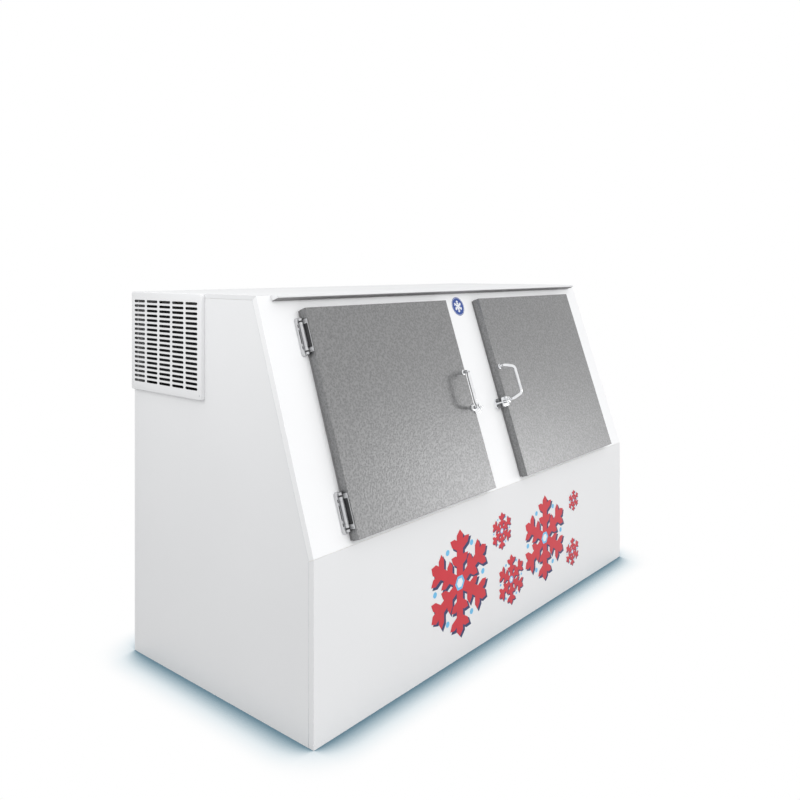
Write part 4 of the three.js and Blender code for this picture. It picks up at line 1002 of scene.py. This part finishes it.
def make_world():
    """A white studio.

    What lights the object is an even glow, a little brighter from above and in front and a little
    weaker from the left. The camera sees plain white, and so do metal and gloss.
    """
    world = bpy.data.worlds.new("studio")
    scene.world = world
    world.use_nodes = True
    world.cycles.sampling_method = "NONE"
    tree = world.node_tree
    direction = add(tree, "ShaderNodeTexCoord").outputs["Generated"]
    glow = tree.nodes["Background"]
    glow.inputs["Color"].default_value = (0.985, 0.99, 1.0, 1)
    slope = add(tree, "ShaderNodeVectorMath", operation="DOT_PRODUCT")
    slope.inputs[1].default_value = (0.02, -0.03, 0.2)
    tree.links.new(direction, slope.inputs[0])
    level = add(tree, "ShaderNodeMath", operation="ADD")
    level.inputs[1].default_value = 0.75
    tree.links.new(slope.outputs["Value"], level.inputs[0])
    tree.links.new(level.outputs[0], glow.inputs["Strength"])
    white = add(tree, "ShaderNodeBackground", Strength=1.0)
    white.inputs["Color"].default_value = (1, 1, 1, 1)
    shown = ray_is(tree, "Camera", "Glossy", "Transmission")
    total = blend_shaders(tree, shown, glow.outputs["Background"], white.outputs["Background"])
    tree.links.new(total, tree.nodes["World Output"].inputs["Surface"])


def make_floor():
    """A white floor with a painted slate-blue shadow where the cabinet stands on it, drawn from how near the
    cabinet is.
    """
    half = 40.0
    mesh = bpy.data.meshes.new("floor")
    corners = [(-half, -half, 0), (half, -half, 0), (half, half, 0), (-half, half, 0)]
    mesh.from_pydata(corners, [], [(0, 1, 2, 3)])
    floor = bpy.data.objects.new("floor", mesh)
    scene.collection.objects.link(floor)
    material, tree, shader = new_material("floor")
    shader.inputs["Base Color"].default_value = (0.5, 0.5, 0.5, 1)
    shader.inputs["Roughness"].default_value = 0.9
    shader.inputs["Specular IOR Level"].default_value = 0.0
    # Painted shadow: camera and gloss see an emission that darkens by occlusion, not the lamps' shadow.
    contact = add(tree, "ShaderNodeAmbientOcclusion", samples=24, Distance=0.16)
    shadow = ramp(tree, contact.outputs["AO"], [
        (0.50, (0.10, 0.19, 0.25)),
        (0.62, (0.36, 0.47, 0.53)),
        (0.80, (0.80, 0.86, 0.89)),
        (0.97, (1, 1, 1)),
    ])
    glow = add(tree, "ShaderNodeEmission")
    tree.links.new(shadow, glow.inputs["Color"])
    shown = ray_is(tree, "Camera", "Glossy", "Transmission")
    total = blend_shaders(tree, shown, shader.outputs["BSDF"], glow.outputs["Emission"])
    tree.links.new(total, tree.nodes["Material Output"].inputs["Surface"])
    paint(floor, material)


def make_lights():
    """Three lamps that light the cabinet, and one whose sheen the doors show low on their right."""
    area_light("key", (-0.3, -4.3, 2.9), (0, -0.4, 0.8), (3.5, 1.6), 73)
    area_light("side_fill", (-4.6, -0.3, 1.9), (-1, 0, 0.8), (2.5, 2.0), 3)
    area_light("corner_fill", (-2.1, 0.0, 1.7), (-0.985, -0.16, 1.06), (0.8, 0.8), 5.6)
    turn, rise, distance = math.radians(51), math.radians(6), 10
    place = Vector((math.sin(turn) * math.cos(rise), -math.cos(turn) * math.cos(rise), math.sin(rise)))
    area_light("door_sheen", place * distance, (0, -0.4, 0.9), (1.8, 3.0), 72, sheen=True)


scene.view_settings.view_transform = "Standard"
make_camera()
make_world()
make_floor()
make_lights()
paint_frame()
soften_frame()
door_furniture()
trim()
seams()
motifs()
